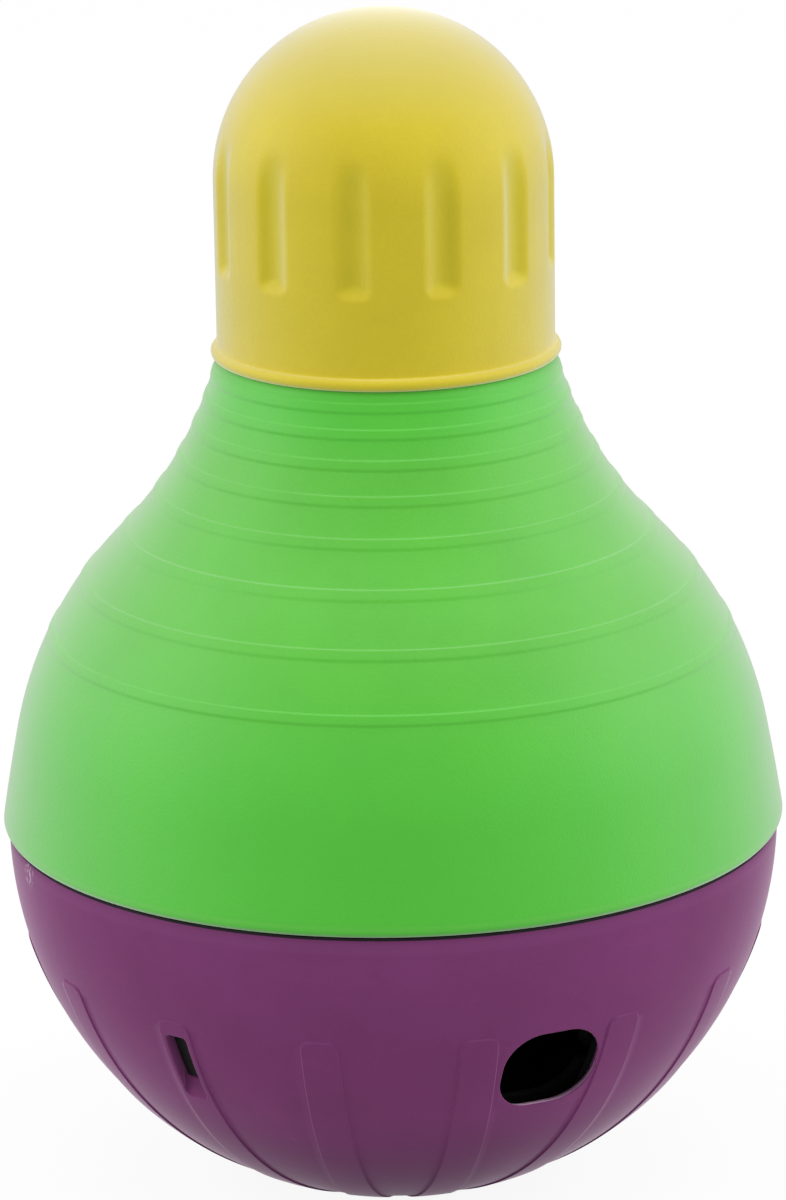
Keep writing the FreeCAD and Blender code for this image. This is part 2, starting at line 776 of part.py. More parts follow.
deck = new_body("divider_deck")
sketch = new_sketch(deck, "XZ_Plane", "deck_outline")
outline = Profile(sketch, bolt_bore, boss_level)
outline.line(named("boss_radius"), boss_level)
outline.line(named("boss_radius"), deck_under)
outline.line(deck_radius, deck_under)
outline.line(deck_radius, deck_level)
outline.line(collar, deck_level)
outline.line(collar, collar_top)
outline.line(collar_bore, collar_top)
outline.line(collar_bore, deck_level)
outline.line(bolt_bore, deck_level)
outline.close()
revolve(deck, sketch, "deck_solid")


def sector(sketch, inner, outer, half_angle):
    """A ring sector centred on -Y, with its two arcs about the sketch's origin."""
    side = sine(half_angle)
    front = cosine(half_angle)
    outline = Profile(sketch, -(inner * side), -(inner * front))
    outline.line(-(outer * side), -(outer * front))
    outline.arc(outer * side, -(outer * front), outer)
    outline.line(inner * side, -(inner * front))
    outline.arc(*outline.start, inner, left=False)


sketch = new_sketch(deck, "XY_Plane", "transfer_face", deck_level)
sector(sketch, named("transfer_inner"), transfer_outer, named("transfer_angle"))
extrude(deck, sketch, "transfer_opening", named("deck_thickness") * 2, cut=True)

sketch = new_sketch(deck, "XY_Plane", "deck_hole_face", deck_level)
circle_at(sketch, deck_circle, 0, pilot)
hole = extrude(deck, sketch, "deck_hole", named("deck_thickness") * 2, cut=True)
repeat_round(deck, hole, "deck_holes", named("deck_screw_count"))


def ridge_face(sketch, foot_radius, tip_radius, level):
    """A thread ridge's section: a trapezoid that is lower at its tip."""
    outline = Profile(sketch, foot_radius, level - ridge_half)
    outline.line(tip_radius, level - ridge_tip_half)
    outline.line(tip_radius, level + ridge_tip_half)
    outline.line(foot_radius, level + ridge_half)
    outline.close()


sketch = new_sketch(deck, "XZ_Plane", "ridge_face")
ridge_face(sketch, collar - root_depth, ridge_tip, named("ridge_level"))
helical_rib(deck, "ridge", sketch, thread_lead, named("ridge_turn"), thread_starts)

# Transfer gate, its bolt, disc spring and lock nut.

gate_under = deck_level + named("gate_rise")
gate_top = gate_under + named("gate_thickness")
head_under = gate_top + named("spring_height")

gate = new_body("transfer_gate", named("gate_open"))
sketch = new_sketch(gate, "XY_Plane", "hub_face", gate_under)
circle_at(sketch, 0, 0, named("gate_hub"))
extrude(gate, sketch, "hub", named("gate_thickness"))
sketch = new_sketch(gate, "XY_Plane", "leaf_face", gate_under)
sector(sketch, named("gate_pad"), gate_radius, named("gate_angle"))
extrude(gate, sketch, "leaf", named("gate_thickness"))
sketch = new_sketch(gate, "XY_Plane", "pad_face", deck_level)
circle_at(sketch, 0, 0, named("gate_pad"))
extrude(gate, sketch, "pad", named("gate_thickness"))
gate_tab_start = transfer_outer - named("gate_tab_length")
gate_tab_corner = (named("gate_tab_width") - named("least_flat")) / 2
sketch = new_sketch(gate, "XZ_Plane", "gate_tab_face", gate_tab_start)
rounded_box(sketch, named("gate_tab_width"), gate_under + named("gate_thickness") / 2,
            gate_top + named("gate_tab_height"), gate_tab_corner, round_bottom=False)
extrude(gate, sketch, "gate_tab", named("gate_tab_length"))
sketch = new_sketch(gate, "XY_Plane", "gate_bore_face", gate_top)
circle_at(sketch, 0, 0, bolt_bore)
extrude(gate, sketch, "gate_bore", named("gate_thickness") * 2, cut=True)

bolt = new_body("gate_bolt")
nut_under = boss_level - named("nut_height")
head_top = head_under + named("bolt_head_height")
sketch = new_sketch(bolt, "XZ_Plane", "bolt_outline")
outline = Profile(sketch, 0, nut_under - named("bolt_tail"))
outline.line(named("bolt_radius"), nut_under - named("bolt_tail"))
outline.line(named("bolt_radius"), head_under)
outline.line(named("bolt_head"), head_under)
outline.line(named("bolt_head"), head_top)
outline.line(0, head_top)
outline.close()
revolve(bolt, sketch, "bolt_solid")

washer = new_body("gate_washer")
spring_inner = bolt_bore
spring_outer = named("spring_radius")
spring_leaf = named("spring_height") / 2
sketch = new_sketch(washer, "XZ_Plane", "washer_outline")
outline = Profile(sketch, spring_outer, gate_top)
outline.line(spring_outer, gate_top + spring_leaf)
outline.line(spring_inner, head_under)
outline.line(spring_inner, head_under - spring_leaf)
outline.close()
revolve(washer, sketch, "washer_cone")

nut = new_body("gate_nut")
nut_corner = named("nut_flats") / cosine(Size(30))
sketch = new_sketch(nut, "XY_Plane", "nut_face", nut_under)
angles = [named("nut_turn") + 60 * corner for corner in range(6)]
corners = [(nut_corner / 2 * cosine(angle), nut_corner / 2 * sine(angle)) for angle in angles]
outline = Profile(sketch, *corners[0])
for corner in corners[1:]:
    outline.line(*corner)
outline.close()
circle_at(sketch, 0, 0, named("bolt_radius") + named("screw_play"))
extrude(nut, sketch, "nut_prism", named("nut_height"))


def screw_group(label, count, circle, seat, length):
    """A ring of socket screws, each its own solid, standing on a level seat."""
    screws = []
    step = Size(360) / count
    for number in range(int(count.value)):
        x = circle * cosine(step * number)
        y = circle * sine(step * number)

        def stand(thing, level):
            for axis, size in (("x", x), ("y", y), ("z", level)):
                thing.setExpression(f"Placement.Base.{axis}", size.text)

        head = doc.addObject("Part::Cylinder", f"{label}_head_{number}")
        head.setExpression("Radius", named("screw_head").text)
        head.setExpression("Height", named("screw_head_height").text)
        stand(head, centre_height + seat)
        shank = doc.addObject("Part::Cylinder", f"{label}_shank_{number}")
        shank.setExpression("Radius", named("screw_radius").text)
        shank.setExpression("Height", (length + named("screw_head_height") / 2).text)
        stand(shank, centre_height + seat - length)
        whole = doc.addObject("Part::Fuse", f"{label}_blank_{number}")
        whole.Base = head
        whole.Tool = shank
        socket = doc.addObject("Part::Prism", f"{label}_socket_{number}")
        socket.Polygon = 6
        socket.setExpression("Circumradius", named("screw_socket").text)
        socket.setExpression("Height", named("screw_head_height").text)
        stand(socket, centre_height + seat + named("screw_head_height") / 2)
        screw = doc.addObject("Part::Cut", f"{label}_{number}")
        screw.Base = whole
        screw.Tool = socket
        screws.append(screw)
    group = doc.addObject("Part::Compound", label)
    group.Label = label
    group.Links = screws
    return group


deck_screws = screw_group("deck_screws", named("deck_screw_count"), deck_circle, deck_level,
                          named("deck_screw_length"))
cup_screws = screw_group("cup_screws", named("cup_screw_count"), cup_circle, cup_floor_level,
                         named("cup_screw_length"))

# Upper shell: a bell with raised rings, a closed neck post for the cap, and thread lugs in its skirt.

shell_wall = named("shell_wall")
skirt_level = named("seam_gap") / 2
rim_round = named("rim_round")
flank = named("flank_curve")
belly = rim - named("belly_inset")
neck_level = named("neck_height")
dome_level = neck_level + named("cap_straight")
cap_radius = named("cap_radius")
neck = cap_radius + named("neck_shoulder")
cap_bore = cap_radius - named("cap_wall")
post = cap_bore - named("cap_play")
post_bore = post - named("post_wall")


def bell_point(radius, height, lean, offset):
    """A point of the bell's outline, moved square to the outline by offset."""
    return radius + offset * cosine(lean), height + offset * sine(lean)


def bell(outline, offset):
    """The bell's side from belly to neck: arcs that run into each other, offset from the surface."""
    belly_end = bell_point(belly, named("belly_height"), named("belly_lean"), offset)
    waist_end = bell_point(named("waist_radius"), named("waist_height"), named("waist_lean"), offset)
    outline.arc(*belly_end, flank + offset)
    outline.blend(*waist_end)
    outline.blend(neck + offset * cosine(named("neck_lean")), neck_level + offset)


def ring_levels():
    """Heights of the rings: each step is the same share of the step below it."""
    first = named("first_ring")
    span = neck_level - named("last_ring_drop") - first
    step = Size(1)
    steps = [Size(0)]
    for number in range(1, int(named("ring_count").value)):
        steps.append(steps[-1] + step)
        step = step * named("ring_shrink")
    return [first + span * (height / steps[-1]) for height in steps]


shell = new_body("upper_shell")
sketch = new_sketch(shell, "XZ_Plane", "shell_outline")
outline = Profile(sketch, 0, skirt_level)
outline.line(rim - rim_round, skirt_level)
outline.arc(rim, skirt_level + rim_round, rim_round)
bell(outline, Size(0))
outline.line(post, neck_level)
outline.line(post, dome_level)
outline.arc(0, dome_level + post, post)
outline.close()
revolve(shell, sketch, "shell_solid")

sketch = new_sketch(shell, "XZ_Plane", "ring_faces")
for level in ring_levels():
    low = level - named("ring_height") / 2
    high = level + named("ring_height") / 2
    outline = Profile(sketch, post_bore, low)
    outline.line(rim, low)
    outline.line(rim, high)
    outline.line(post_bore, high)
    outline.close()
revolve(shell, sketch, "ring_discs")

ring_rise = named("ring_rise")
ring_foot = skirt_level + rim_round
sketch = new_sketch(shell, "XZ_Plane", "ring_trim_face")
outline = Profile(sketch, rim + ring_rise, ring_foot)
bell(outline, ring_rise)
outline.line(outside, neck_level + ring_rise)
outline.line(outside, ring_foot)
outline.close()
revolve(shell, sketch, "ring_trim", cut=True)

sketch = new_sketch(shell, "XZ_Plane", "shell_hollow_face")
outline = Profile(sketch, 0, skirt_level)
outline.line(skirt_bore, skirt_level)
outline.line(skirt_bore, collar_top + named("skirt_run"))
bell(outline, -shell_wall)
outline.line(post_bore, neck_level - shell_wall)
outline.line(post_bore, dome_level)
outline.arc(0, dome_level + post_bore, post_bore)
outline.close()
revolve(shell, sketch, "shell_hollow", cut=True)

seal_radius = rim - named("seal_inset")
seal_bore = seal_radius - named("seal_width")
seal_play = named("seal_play")
seal_top = skirt_level + named("seal_depth")
sketch = new_sketch(shell, "XZ_Plane", "seal_groove_face")
outline = Profile(sketch, seal_bore - seal_play, skirt_level)
outline.line(seal_radius + seal_play, skirt_level)
outline.line(seal_radius + seal_play, seal_top)
outline.line(seal_bore - seal_play, seal_top)
outline.close()
revolve(shell, sketch, "seal_groove", cut=True)

snap = named("snap_radius")
snap_level = neck_level + named("snap_rise")
snap_groove = snap + named("cap_play")
sketch = new_sketch(shell, "XZ_Plane", "snap_groove_face")
outline = Profile(sketch, post + snap_groove, snap_level + snap_groove)
outline.line(post, snap_level + snap_groove)
outline.arc(post - snap_groove, snap_level, snap_groove)
outline.arc(post, snap_level - snap_groove, snap_groove)
outline.line(post + snap_groove, snap_level - snap_groove)
outline.close()
revolve(shell, sketch, "snap_groove", cut=True)

lug_level = named("ridge_level") - named("ridge_height") - named("ridge_play")
sketch = new_sketch(shell, "XZ_Plane", "thread_lug_face")
ridge_face(sketch, skirt_bore + root_depth, collar + named("thread_play"), lug_level)
helical_rib(shell, "thread_lug", sketch, thread_lead, named("lug_turn"), thread_starts)

# Seam seal: a ring in the shell's lower edge that lies on the bowl's rim.

seam_seal = new_body("seam_seal")
sketch = new_sketch(seam_seal, "XZ_Plane", "seam_seal_face")
outline = Profile(sketch, seal_bore, rim_level)
outline.line(seal_radius, rim_level)
outline.line(seal_radius, seal_top)
outline.line(seal_bore, seal_top)
outline.close()
revolve(seam_seal, sketch, "seam_seal_ring")

# Top cap: a soft dome with a rim bead, a snap bead in its bore and twelve grip recesses.

bead = named("cap_bead") / 2
cap = new_body("top_cap", named("grip_turn"))
sketch = new_sketch(cap, "XZ_Plane", "cap_outline")
outline = Profile(sketch, cap_bore, neck_level)
outline.line(cap_radius, neck_level)
outline.arc(cap_radius + bead, neck_level + bead, bead)
outline.arc(cap_radius, neck_level + bead * 2, bead)
outline.line(cap_radius, dome_level)
outline.arc(0, dome_level + cap_radius, cap_radius)
outline.line(0, dome_level + cap_bore)
outline.arc(cap_bore, dome_level, cap_bore, left=False)
outline.line(cap_bore, snap_level + snap)
outline.arc(cap_bore - snap, snap_level, snap)
outline.arc(cap_bore, snap_level - snap, snap)
outline.close()
revolve(cap, sketch, "cap_solid")

sketch = new_sketch(cap, "XZ_Plane", "grip_face", cap_radius - named("grip_depth"))
rounded_box(sketch, named("grip_width"), neck_level + named("grip_rise"), dome_level + cap_radius,
            named("grip_corner"))
grip = extrude(cap, sketch, "grip", cap_radius, cut=True, backwards=True)
repeat_round(cap, grip, "grips", named("grip_count"))

doc.recompute()

NODES = [
    cap, shell, seam_seal, deck, deck_screws, gate, bolt, washer, nut, cup, cup_screws,
    shutter, tab, tab_screw, cover, seal, pad, ballast, bowl,
]

for thing in doc.Objects:
    if "Invalid" in thing.State or "Error" in thing.State:
        raise RuntimeError(f"{thing.Label} did not rebuild: {thing.State}")

for node in NODES:
    shape = node.Shape
    if shape.isNull() or not shape.isValid():
        raise RuntimeError(f"{node.Label} has no valid shape")
    box = shape.BoundBox
    print(f"{node.Label:16s} solids {len(shape.Solids)} volume {shape.Volume:8.0f} "
          f"low {box.XMin:7.2f} {box.YMin:7.2f} {box.ZMin:7.2f} "
          f"high {box.XMax:7.2f} {box.YMax:7.2f} {box.ZMax:7.2f}")

os.makedirs("parts", exist_ok=True)
for node in NODES:
    node.Shape.exportStep(f"parts/{node.Label}.step")
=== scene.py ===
# %% [markdown]
# # A wobble treat dispenser, dressed from its CAD frame
# The real toy is a weighted purple bowl, a green bell screwed on it, and a soft yellow cap that a hand
# or a mouth grips. The CAD model gives every size and joint. This lesson makes the surfaces that the
# eye meets: smooth shapes from short formulas, and plastics and rubber from shader nodes.
# A piece could be sculpted, or modelled face by face, but a moulded toy is nearly all turned shapes, so
# each surface here is a function of two numbers, worked out with numpy for all its points at once.

import json
import math

import bpy
import numpy as np
from mathutils import Matrix


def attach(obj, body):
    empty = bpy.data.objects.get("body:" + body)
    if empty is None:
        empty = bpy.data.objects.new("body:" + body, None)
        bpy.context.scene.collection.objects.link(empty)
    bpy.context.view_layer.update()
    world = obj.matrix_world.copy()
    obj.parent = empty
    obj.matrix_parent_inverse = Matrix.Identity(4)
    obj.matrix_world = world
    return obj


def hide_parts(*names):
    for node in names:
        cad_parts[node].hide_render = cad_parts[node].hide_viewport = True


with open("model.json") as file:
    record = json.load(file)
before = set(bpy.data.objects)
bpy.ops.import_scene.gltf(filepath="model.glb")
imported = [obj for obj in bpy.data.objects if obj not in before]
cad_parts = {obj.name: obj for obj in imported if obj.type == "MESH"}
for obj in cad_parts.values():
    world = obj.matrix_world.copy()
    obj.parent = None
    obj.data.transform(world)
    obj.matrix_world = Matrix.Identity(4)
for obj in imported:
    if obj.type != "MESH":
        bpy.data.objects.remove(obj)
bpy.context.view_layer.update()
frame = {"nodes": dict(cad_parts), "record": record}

# %% [markdown]
# The toy's own measure is the sphere of the bowl. All shapes below are drawn in millimetres about the
# middle of that sphere, because the bowl's formulas are then the shortest, and lifted to the floor and
# turned into metres once, when a mesh is made. BALL is the sphere's radius and FOOT that of the flat
# that the toy stands on. The cap begins at the height NECK, and its dome's middle is at DOME.

# %% Measures of the toy, in millimetres
BALL = 88.0
FOOT = 20.0
CENTRE = math.sqrt(BALL ** 2 - FOOT ** 2)
NECK = 108.0
DOME = 147.9
print("sphere centre above the floor:", round(CENTRE, 3), "mm")

# %% [markdown]
# The camera stands where the photographer's did. Its direction and distance were fitted to the
# outline: 24 degrees to the left of the outlet, 16 degrees above level, with a long lens. The picture
# was held about one degree off level, so the camera is rolled by as much.

# %% Camera
def into_scene(name, data):
    made = bpy.data.objects.new(name, data)
    bpy.context.scene.collection.objects.link(made)
    return made


AROUND = math.radians(-24.4)
YAW = math.radians(-0.0345)
TILT = math.radians(90 - 15.877)
ROLL = math.radians(-0.874)
AWAY, RISE = 1.1312, 0.3720
eye = (math.sin(AROUND) * AWAY, -math.cos(AROUND) * AWAY, CENTRE / 1000 + RISE)
lens = bpy.data.cameras.new("camera")
lens.sensor_width = 36
lens.lens = 155.3
camera = into_scene("camera", lens)
camera.matrix_world = (
    Matrix.Translation(eye)
    @ Matrix.Rotation(AROUND + YAW, 4, "Z")
    @ Matrix.Rotation(TILT, 4, "X")
    @ Matrix.Rotation(ROLL, 4, "Z")
)
bpy.context.scene.camera = camera
bpy.context.scene.view_settings.view_transform = "Standard"
print("camera at", [round(x, 3) for x in eye])

# %% [markdown]
# Shader trees are easier to read as a list of nodes than as a drawing. These helpers add one node each
# and give its named inputs values or other nodes' outputs.

# %% Helpers for shader nodes
def feed(node, **inputs):
    """Gives inputs of a node a value or another node's output. An input's name has _ for a space, and
    one like i0 is an input's number."""
    for name, value in inputs.items():
        socket = node.inputs[int(name[1:]) if name[1:].isdigit() else name.replace("_", " ")]
        if isinstance(value, bpy.types.NodeSocket):
            node.id_data.links.new(value, socket)
        elif socket.type == "RGBA":
            socket.default_value = (*value, 1.0)
        else:
            socket.default_value = value


def add(kind, options=None, tree=None, **inputs):
    """Adds a shader node and feeds it. Without a tree it goes where its linked inputs come from."""
    sources = (value.id_data for value in inputs.values() if isinstance(value, bpy.types.NodeSocket))
    made = (tree or next(sources)).nodes.new("ShaderNode" + kind)
    for name, value in (options or {}).items():
        setattr(made, name, value)
    feed(made, **inputs)
    return made


def calc(operation, one, other=0.0):
    return add("Math", {"operation": operation}, i0=one, i1=other).outputs[0]


def times(one, other):
    return calc("MULTIPLY", one, other)


def spread(value, low, high, to_low=0.0, to_high=1.0):
    """A value between low and high moved to between to_low and to_high, and held there."""
    return add("MapRange", Value=value, From_Min=low, From_Max=high, To_Min=to_low,
               To_Max=to_high).outputs[0]


# %% [markdown]
# The photograph has a white background and soft light from all round, as in a light tent. A white
# world alone would be flat, so three large soft lamps stand above and at the sides. The floor and the
# world look white to the camera, and the world in reflections too, but the toy gets only a plain,
# lower level of light from them. The floor keeps a faint shadow.

# %% World and floor
def tent_strength(tree, seen, given, mirrored=1.0):
    """The strength that the camera sees, the strength that lights the toy, and the share of the way
    from the second to the first that reflections see."""
    ray = add("LightPath", tree=tree).outputs
    bounced = calc("MAXIMUM", ray["Is Glossy Ray"], ray["Is Transmission Ray"])
    direct = calc("MAXIMUM", ray["Is Camera Ray"], times(bounced, mirrored))
    return spread(direct, 0.0, 1.0, given, seen)


world = bpy.data.worlds.new("tent")
world.use_nodes = True
bpy.context.scene.world = world
feed(world.node_tree.nodes["Background"], Color=(1, 1, 1),
     Strength=tent_strength(world.node_tree, 1.0, 0.85))

floor_mesh = bpy.data.meshes.new("floor")
floor_mesh.from_pydata([(-9, -9, 0), (9, -9, 0), (9, 9, 0), (-9, 9, 0)], [], [(0, 1, 2, 3)])
floor = into_scene("floor", floor_mesh)
paper = bpy.data.materials.new("pale_floor")
paper.use_nodes = True
tree = paper.node_tree
tree.nodes.clear()
matt = add("BsdfDiffuse", tree=tree, Color=(0.38, 0.38, 0.38))
faint = add("BsdfDiffuse", tree=tree, Color=(0.09, 0.09, 0.09))
glow = add("Emission", tree=tree, Strength=0.91)
shown = add("AddShader", i0=faint.outputs[0], i1=glow.outputs[0])
choose = add("MixShader", Fac=tent_strength(tree, 1.0, 0.0, 0.12), i1=matt.outputs[0],
             i2=shown.outputs[0])
add("OutputMaterial", Surface=choose.outputs[0])
floor_mesh.materials.append(paper)
print("floor and world made")

# %% Lamps
def lamp(name, place, size, power):
    """A square soft lamp at a place in metres, turned to the middle of the toy."""
    light = bpy.data.lights.new(name, "AREA")
    light.size = size
    light.energy = power
    aim = np.array([0, 0, 0.13]) - np.array(place)
    away = math.atan2(math.hypot(aim[0], aim[1]), -aim[2])
    into_scene(name, light).matrix_world = (
        Matrix.Translation(place)
        @ Matrix.Rotation(math.atan2(aim[1], aim[0]) - math.pi / 2, 4, "Z")
        @ Matrix.Rotation(away, 4, "X")
    )


lamp("lamp_top", (0.0, -0.25, 1.5), 1.3, 1.8)
lamp("lamp_left", (-1.26, 0.31, 0.75), 1.0, 8.1)
lamp("lamp_right", (1.07, -0.73, 0.7), 1.0, 8.6)
print("three soft lamps")

# %% [markdown]
# Each piece is one or more grids of points. A grid's rows follow the outline and its columns go round.
# The mesh could be built face by face in bmesh, but a grid's faces are only index arithmetic, which
# numpy does in one step.

# %% Helpers for grids and meshes
def turned_points(flat, height, angle):
    """Points (r cos a, r sin a, z) at the distances flat from the axis, with heights and angles."""
    return np.stack(np.broadcast_arrays(flat * np.cos(angle), flat * np.sin(angle), height), axis=-1)


def numbered(grid):
    """The number of each point of a grid, in the grid's rows and columns."""
    return np.arange(grid[..., 0].size).reshape(grid.shape[:2])


def grid_faces(index, wrap=True):
    """Quads between neighbouring rows and columns of an array of point numbers."""
    right = np.roll(index, -1, axis=1) if wrap else index[:, 1:]
    left = index if wrap else index[:, :-1]
    return np.stack([left[:-1], right[:-1], right[1:], left[1:]], axis=-1).reshape(-1, 4)


def fan_faces(ring, tip):
    """Triangles from a ring of point numbers to one point, which closes a pole."""
    return np.stack([ring, np.roll(ring, -1), np.full(len(ring), tip)], axis=-1)


def capped(index):
    """The faces of a grid that two points close, numbered after the grid's own."""
    return [grid_faces(index), fan_faces(index[0], index.size)[:, ::-1],
            fan_faces(index[-1], index.size + 1)]


def make_piece(name, parts):
    """A piece from closed shells, each a pair of points in mm about the sphere and lists of faces.
    Its object stays at the origin: the place is in the mesh, in metres."""
    points = np.concatenate([p for p, faces in parts])
    starts = np.cumsum([0] + [len(p) for p, faces in parts])
    faces = [f + start for (p, fs), start in zip(parts, starts) for f in fs]
    sizes = np.concatenate([np.full(len(f), f.shape[1]) for f in faces])
    corners = np.concatenate([f.ravel() for f in faces])
    placed = (points + [0, 0, CENTRE]) / 1000
    mesh = bpy.data.meshes.new(name)
    mesh.vertices.add(len(placed))
    mesh.vertices.foreach_set("co", placed.astype(np.float32).ravel())
    mesh.loops.add(len(corners))
    mesh.loops.foreach_set("vertex_index", corners.astype(np.int32))
    mesh.polygons.add(len(sizes))
    mesh.polygons.foreach_set("loop_start", (np.cumsum(sizes) - sizes).astype(np.int32))
    mesh.update(calc_edges=True)
    mesh.validate()
    mesh.shade_smooth()
    print(name, "points", len(placed), "triangles", int((sizes - 2).sum()))
    return into_scene(name, mesh)


# %% Helpers for outlines
def soft_corners(corners, steps=4):
    """An outline from (radius, height, rounding): each corner becomes an arc from one side to the
    other, with a point just before and after it that keeps the flats flat. It is a quadratic curve
    (1-t)^2 a + 2t(1-t) b + t^2 c through the corner b."""
    corners = np.array(corners, float)
    place, size = corners[:, :2], corners[:, 2:]
    back = np.roll(place, 1, axis=0) - place
    ahead = np.roll(place, -1, axis=0) - place
    back_length = np.linalg.norm(back, axis=1, keepdims=True)
    ahead_length = np.linalg.norm(ahead, axis=1, keepdims=True)
    reach = np.minimum(size, 0.49 * np.minimum(back_length, ahead_length))
    a = place + back / back_length * reach
    c = place + ahead / ahead_length * reach
    t = np.linspace(0, 1, steps + 1)[None, :, None]
    arcs = (1 - t) ** 2 * a[:, None] + 2 * t * (1 - t) * place[:, None] + t ** 2 * c[:, None]
    support = np.minimum(0.35 * size, 0.2)
    before = place + back / back_length * np.minimum(reach + support, back_length / 2)
    after = place + ahead / ahead_length * np.minimum(reach + support, ahead_length / 2)
    whole = np.concatenate([before[:, None], arcs, after[:, None]], axis=1)
    return [whole[k] if corners[k, 2] > 0 else place[k:k + 1] for k in range(len(corners))]


def along(outline, steps):
    """The points of an outline at given shares of its length."""
    length = np.concatenate([[0], np.cumsum(np.linalg.norm(np.diff(outline, axis=0), axis=1))])
    return np.stack([np.interp(steps * length[-1], length, outline[:, k]) for k in (0, 1)], axis=1)


def arc(centre, radius, start, end, steps):
    """Points (radius, height) on an arc about a centre, from one angle to another in degrees."""
    t = np.radians(np.linspace(start, end, steps))
    return np.stack([centre[0] + radius * np.cos(t), centre[1] + radius * np.sin(t)], axis=1)


def turned(outline, columns, closed=True):
    """A surface of revolution. The outline runs anticlockwise seen with its radius to the right, so
    faces look outwards. A closed outline joins its end to its start. An open one begins and ends on
    the axis."""
    rings = outline if closed else outline[1:-1]
    angle = np.linspace(0, 2 * math.pi, columns, endpoint=False)
    grid = turned_points(rings[:, :1], rings[:, 1:], angle)
    points, index = grid.reshape(-1, 3), numbered(grid)
    if closed:
        return points, [grid_faces(np.concatenate([index, index[:1]]))]
    tips = np.array([[0, 0, outline[0, 1]], [0, 0, outline[-1, 1]]])
    return np.concatenate([points, tips]), capped(index)


def smooth_step(x):
    """0 below 0, 1 above 1, and 3x^2 - 2x^3 between them."""
    x = np.clip(x, 0, 1)
    return x * x * (3 - 2 * x)


def box_distance(across, beyond, corner):
    """The signed distance from a long box with round corners, negative inside it. across and beyond
    say how far a point is past the middles of the corners, to the side and to the end."""
    return (np.hypot(np.maximum(across, 0), np.maximum(beyond, 0))
            + np.minimum(np.maximum(across, beyond), 0) - corner)


# %% [markdown]
# The green bell is one outline: a slightly bulged flank, a hollow sweep inwards, and a sweep back to
# upright at the neck. In the CAD model these are three arcs that run into each other, and the same
# three are worked out here: the first from its radius, each other one from the direction in which the
# last one ends. Eight low rings stand on it, closer together towards the neck.

# %% The bell's outline
def tangent_arc(start, heading, end, steps):
    """The one arc that leaves start along heading and ends at end, and its direction there.
    Its centre lies square to the heading, at chord^2 / (2 chord . normal)."""
    start, end = np.array(start, float), np.array(end, float)
    chord = end - start
    normal = np.array([-heading[1], heading[0]])
    reach = chord @ chord / (2 * chord @ normal)
    centre = start + normal * reach
    first = math.atan2(*(start - centre)[::-1])
    last = math.atan2(*(end - centre)[::-1])
    sweep = (last - first + math.pi) % (2 * math.pi) - math.pi
    angle = first + np.linspace(0, sweep, steps)
    points = centre + abs(reach) * np.stack([np.cos(angle), np.sin(angle)], axis=1)
    side = 1 if reach > 0 else -1
    return points, side * np.array([-math.sin(last), math.cos(last)])


def bell(offset, steps=(120, 200, 200)):
    """The bell's side, moved square to itself by offset, from above the rim to the neck."""
    def moved(radius, height, lean):
        lean = math.radians(lean)
        return np.array([radius + offset * math.cos(lean), height + offset * math.sin(lean)])

    foot = np.array([89.2, 1.9] if offset >= 0 else [83.4, 17.0])
    belly = moved(85.44, 22.5, 10.95)
    waist = moved(61.9, 66.4, 45.5)
    neck = np.array([38.1 + offset * math.cos(math.radians(14)), NECK + offset])
    flank = 514.0 + offset
    half = (belly - foot) / 2
    rise = math.sqrt(flank ** 2 - half @ half)
    centre = foot + half + np.array([-half[1], half[0]]) / np.linalg.norm(half) * rise
    first = math.atan2(*(foot - centre)[::-1])
    last = math.atan2(*(belly - centre)[::-1])
    angle = np.linspace(first, last, steps[0])
    low = centre + flank * np.stack([np.cos(angle), np.sin(angle)], axis=1)
    middle, heading = tangent_arc(belly, (-math.sin(last), math.cos(last)), waist, steps[1])
    high, heading = tangent_arc(waist, heading, neck, steps[2])
    return np.concatenate([low, middle[1:], high[1:]])


side = bell(0.0)
print("bell from", side[0].round(2), "to", side[-1].round(2))

# %% The rings on the bell
LOWEST_RING, HIGHEST_RING = 45.4, NECK - 3.5
RING_HALF, RING_RISE = 1.025, 0.25
gaps = 0.875 ** np.arange(7)
shares = np.concatenate([[0], np.cumsum(gaps)])
rings = LOWEST_RING + (HIGHEST_RING - LOWEST_RING) * shares / np.sum(gaps)
edges = np.sort(np.concatenate([rings - RING_HALF, rings + RING_HALF]))
near = (edges[:, None] + np.linspace(-0.4, 0.4, 9)).ravel()
plain = np.linspace(side[0, 1], NECK, 58)
plain = plain[np.abs(plain[:, None] - edges).min(axis=1) > 0.5]
levels = np.sort(np.concatenate([plain, near, rings]))
bell_line = np.stack([np.interp(levels, side[:, 1], side[:, 0]), levels], axis=1)
slope = np.gradient(bell_line, axis=0)
outward = np.stack([slope[:, 1], -slope[:, 0]], axis=1)
outward /= np.linalg.norm(outward, axis=1, keepdims=True)
from_ring = levels - rings[np.abs(levels[:, None] - rings).argmin(axis=1)]
ring_lift = (RING_RISE * smooth_step((RING_HALF - from_ring) / 0.5 + 0.5)
             * smooth_step((RING_HALF + from_ring) / 0.8 + 0.5))
outer_side = bell_line + outward * ring_lift[:, None]
print("rings at", rings.round(2), "rows", len(outer_side))

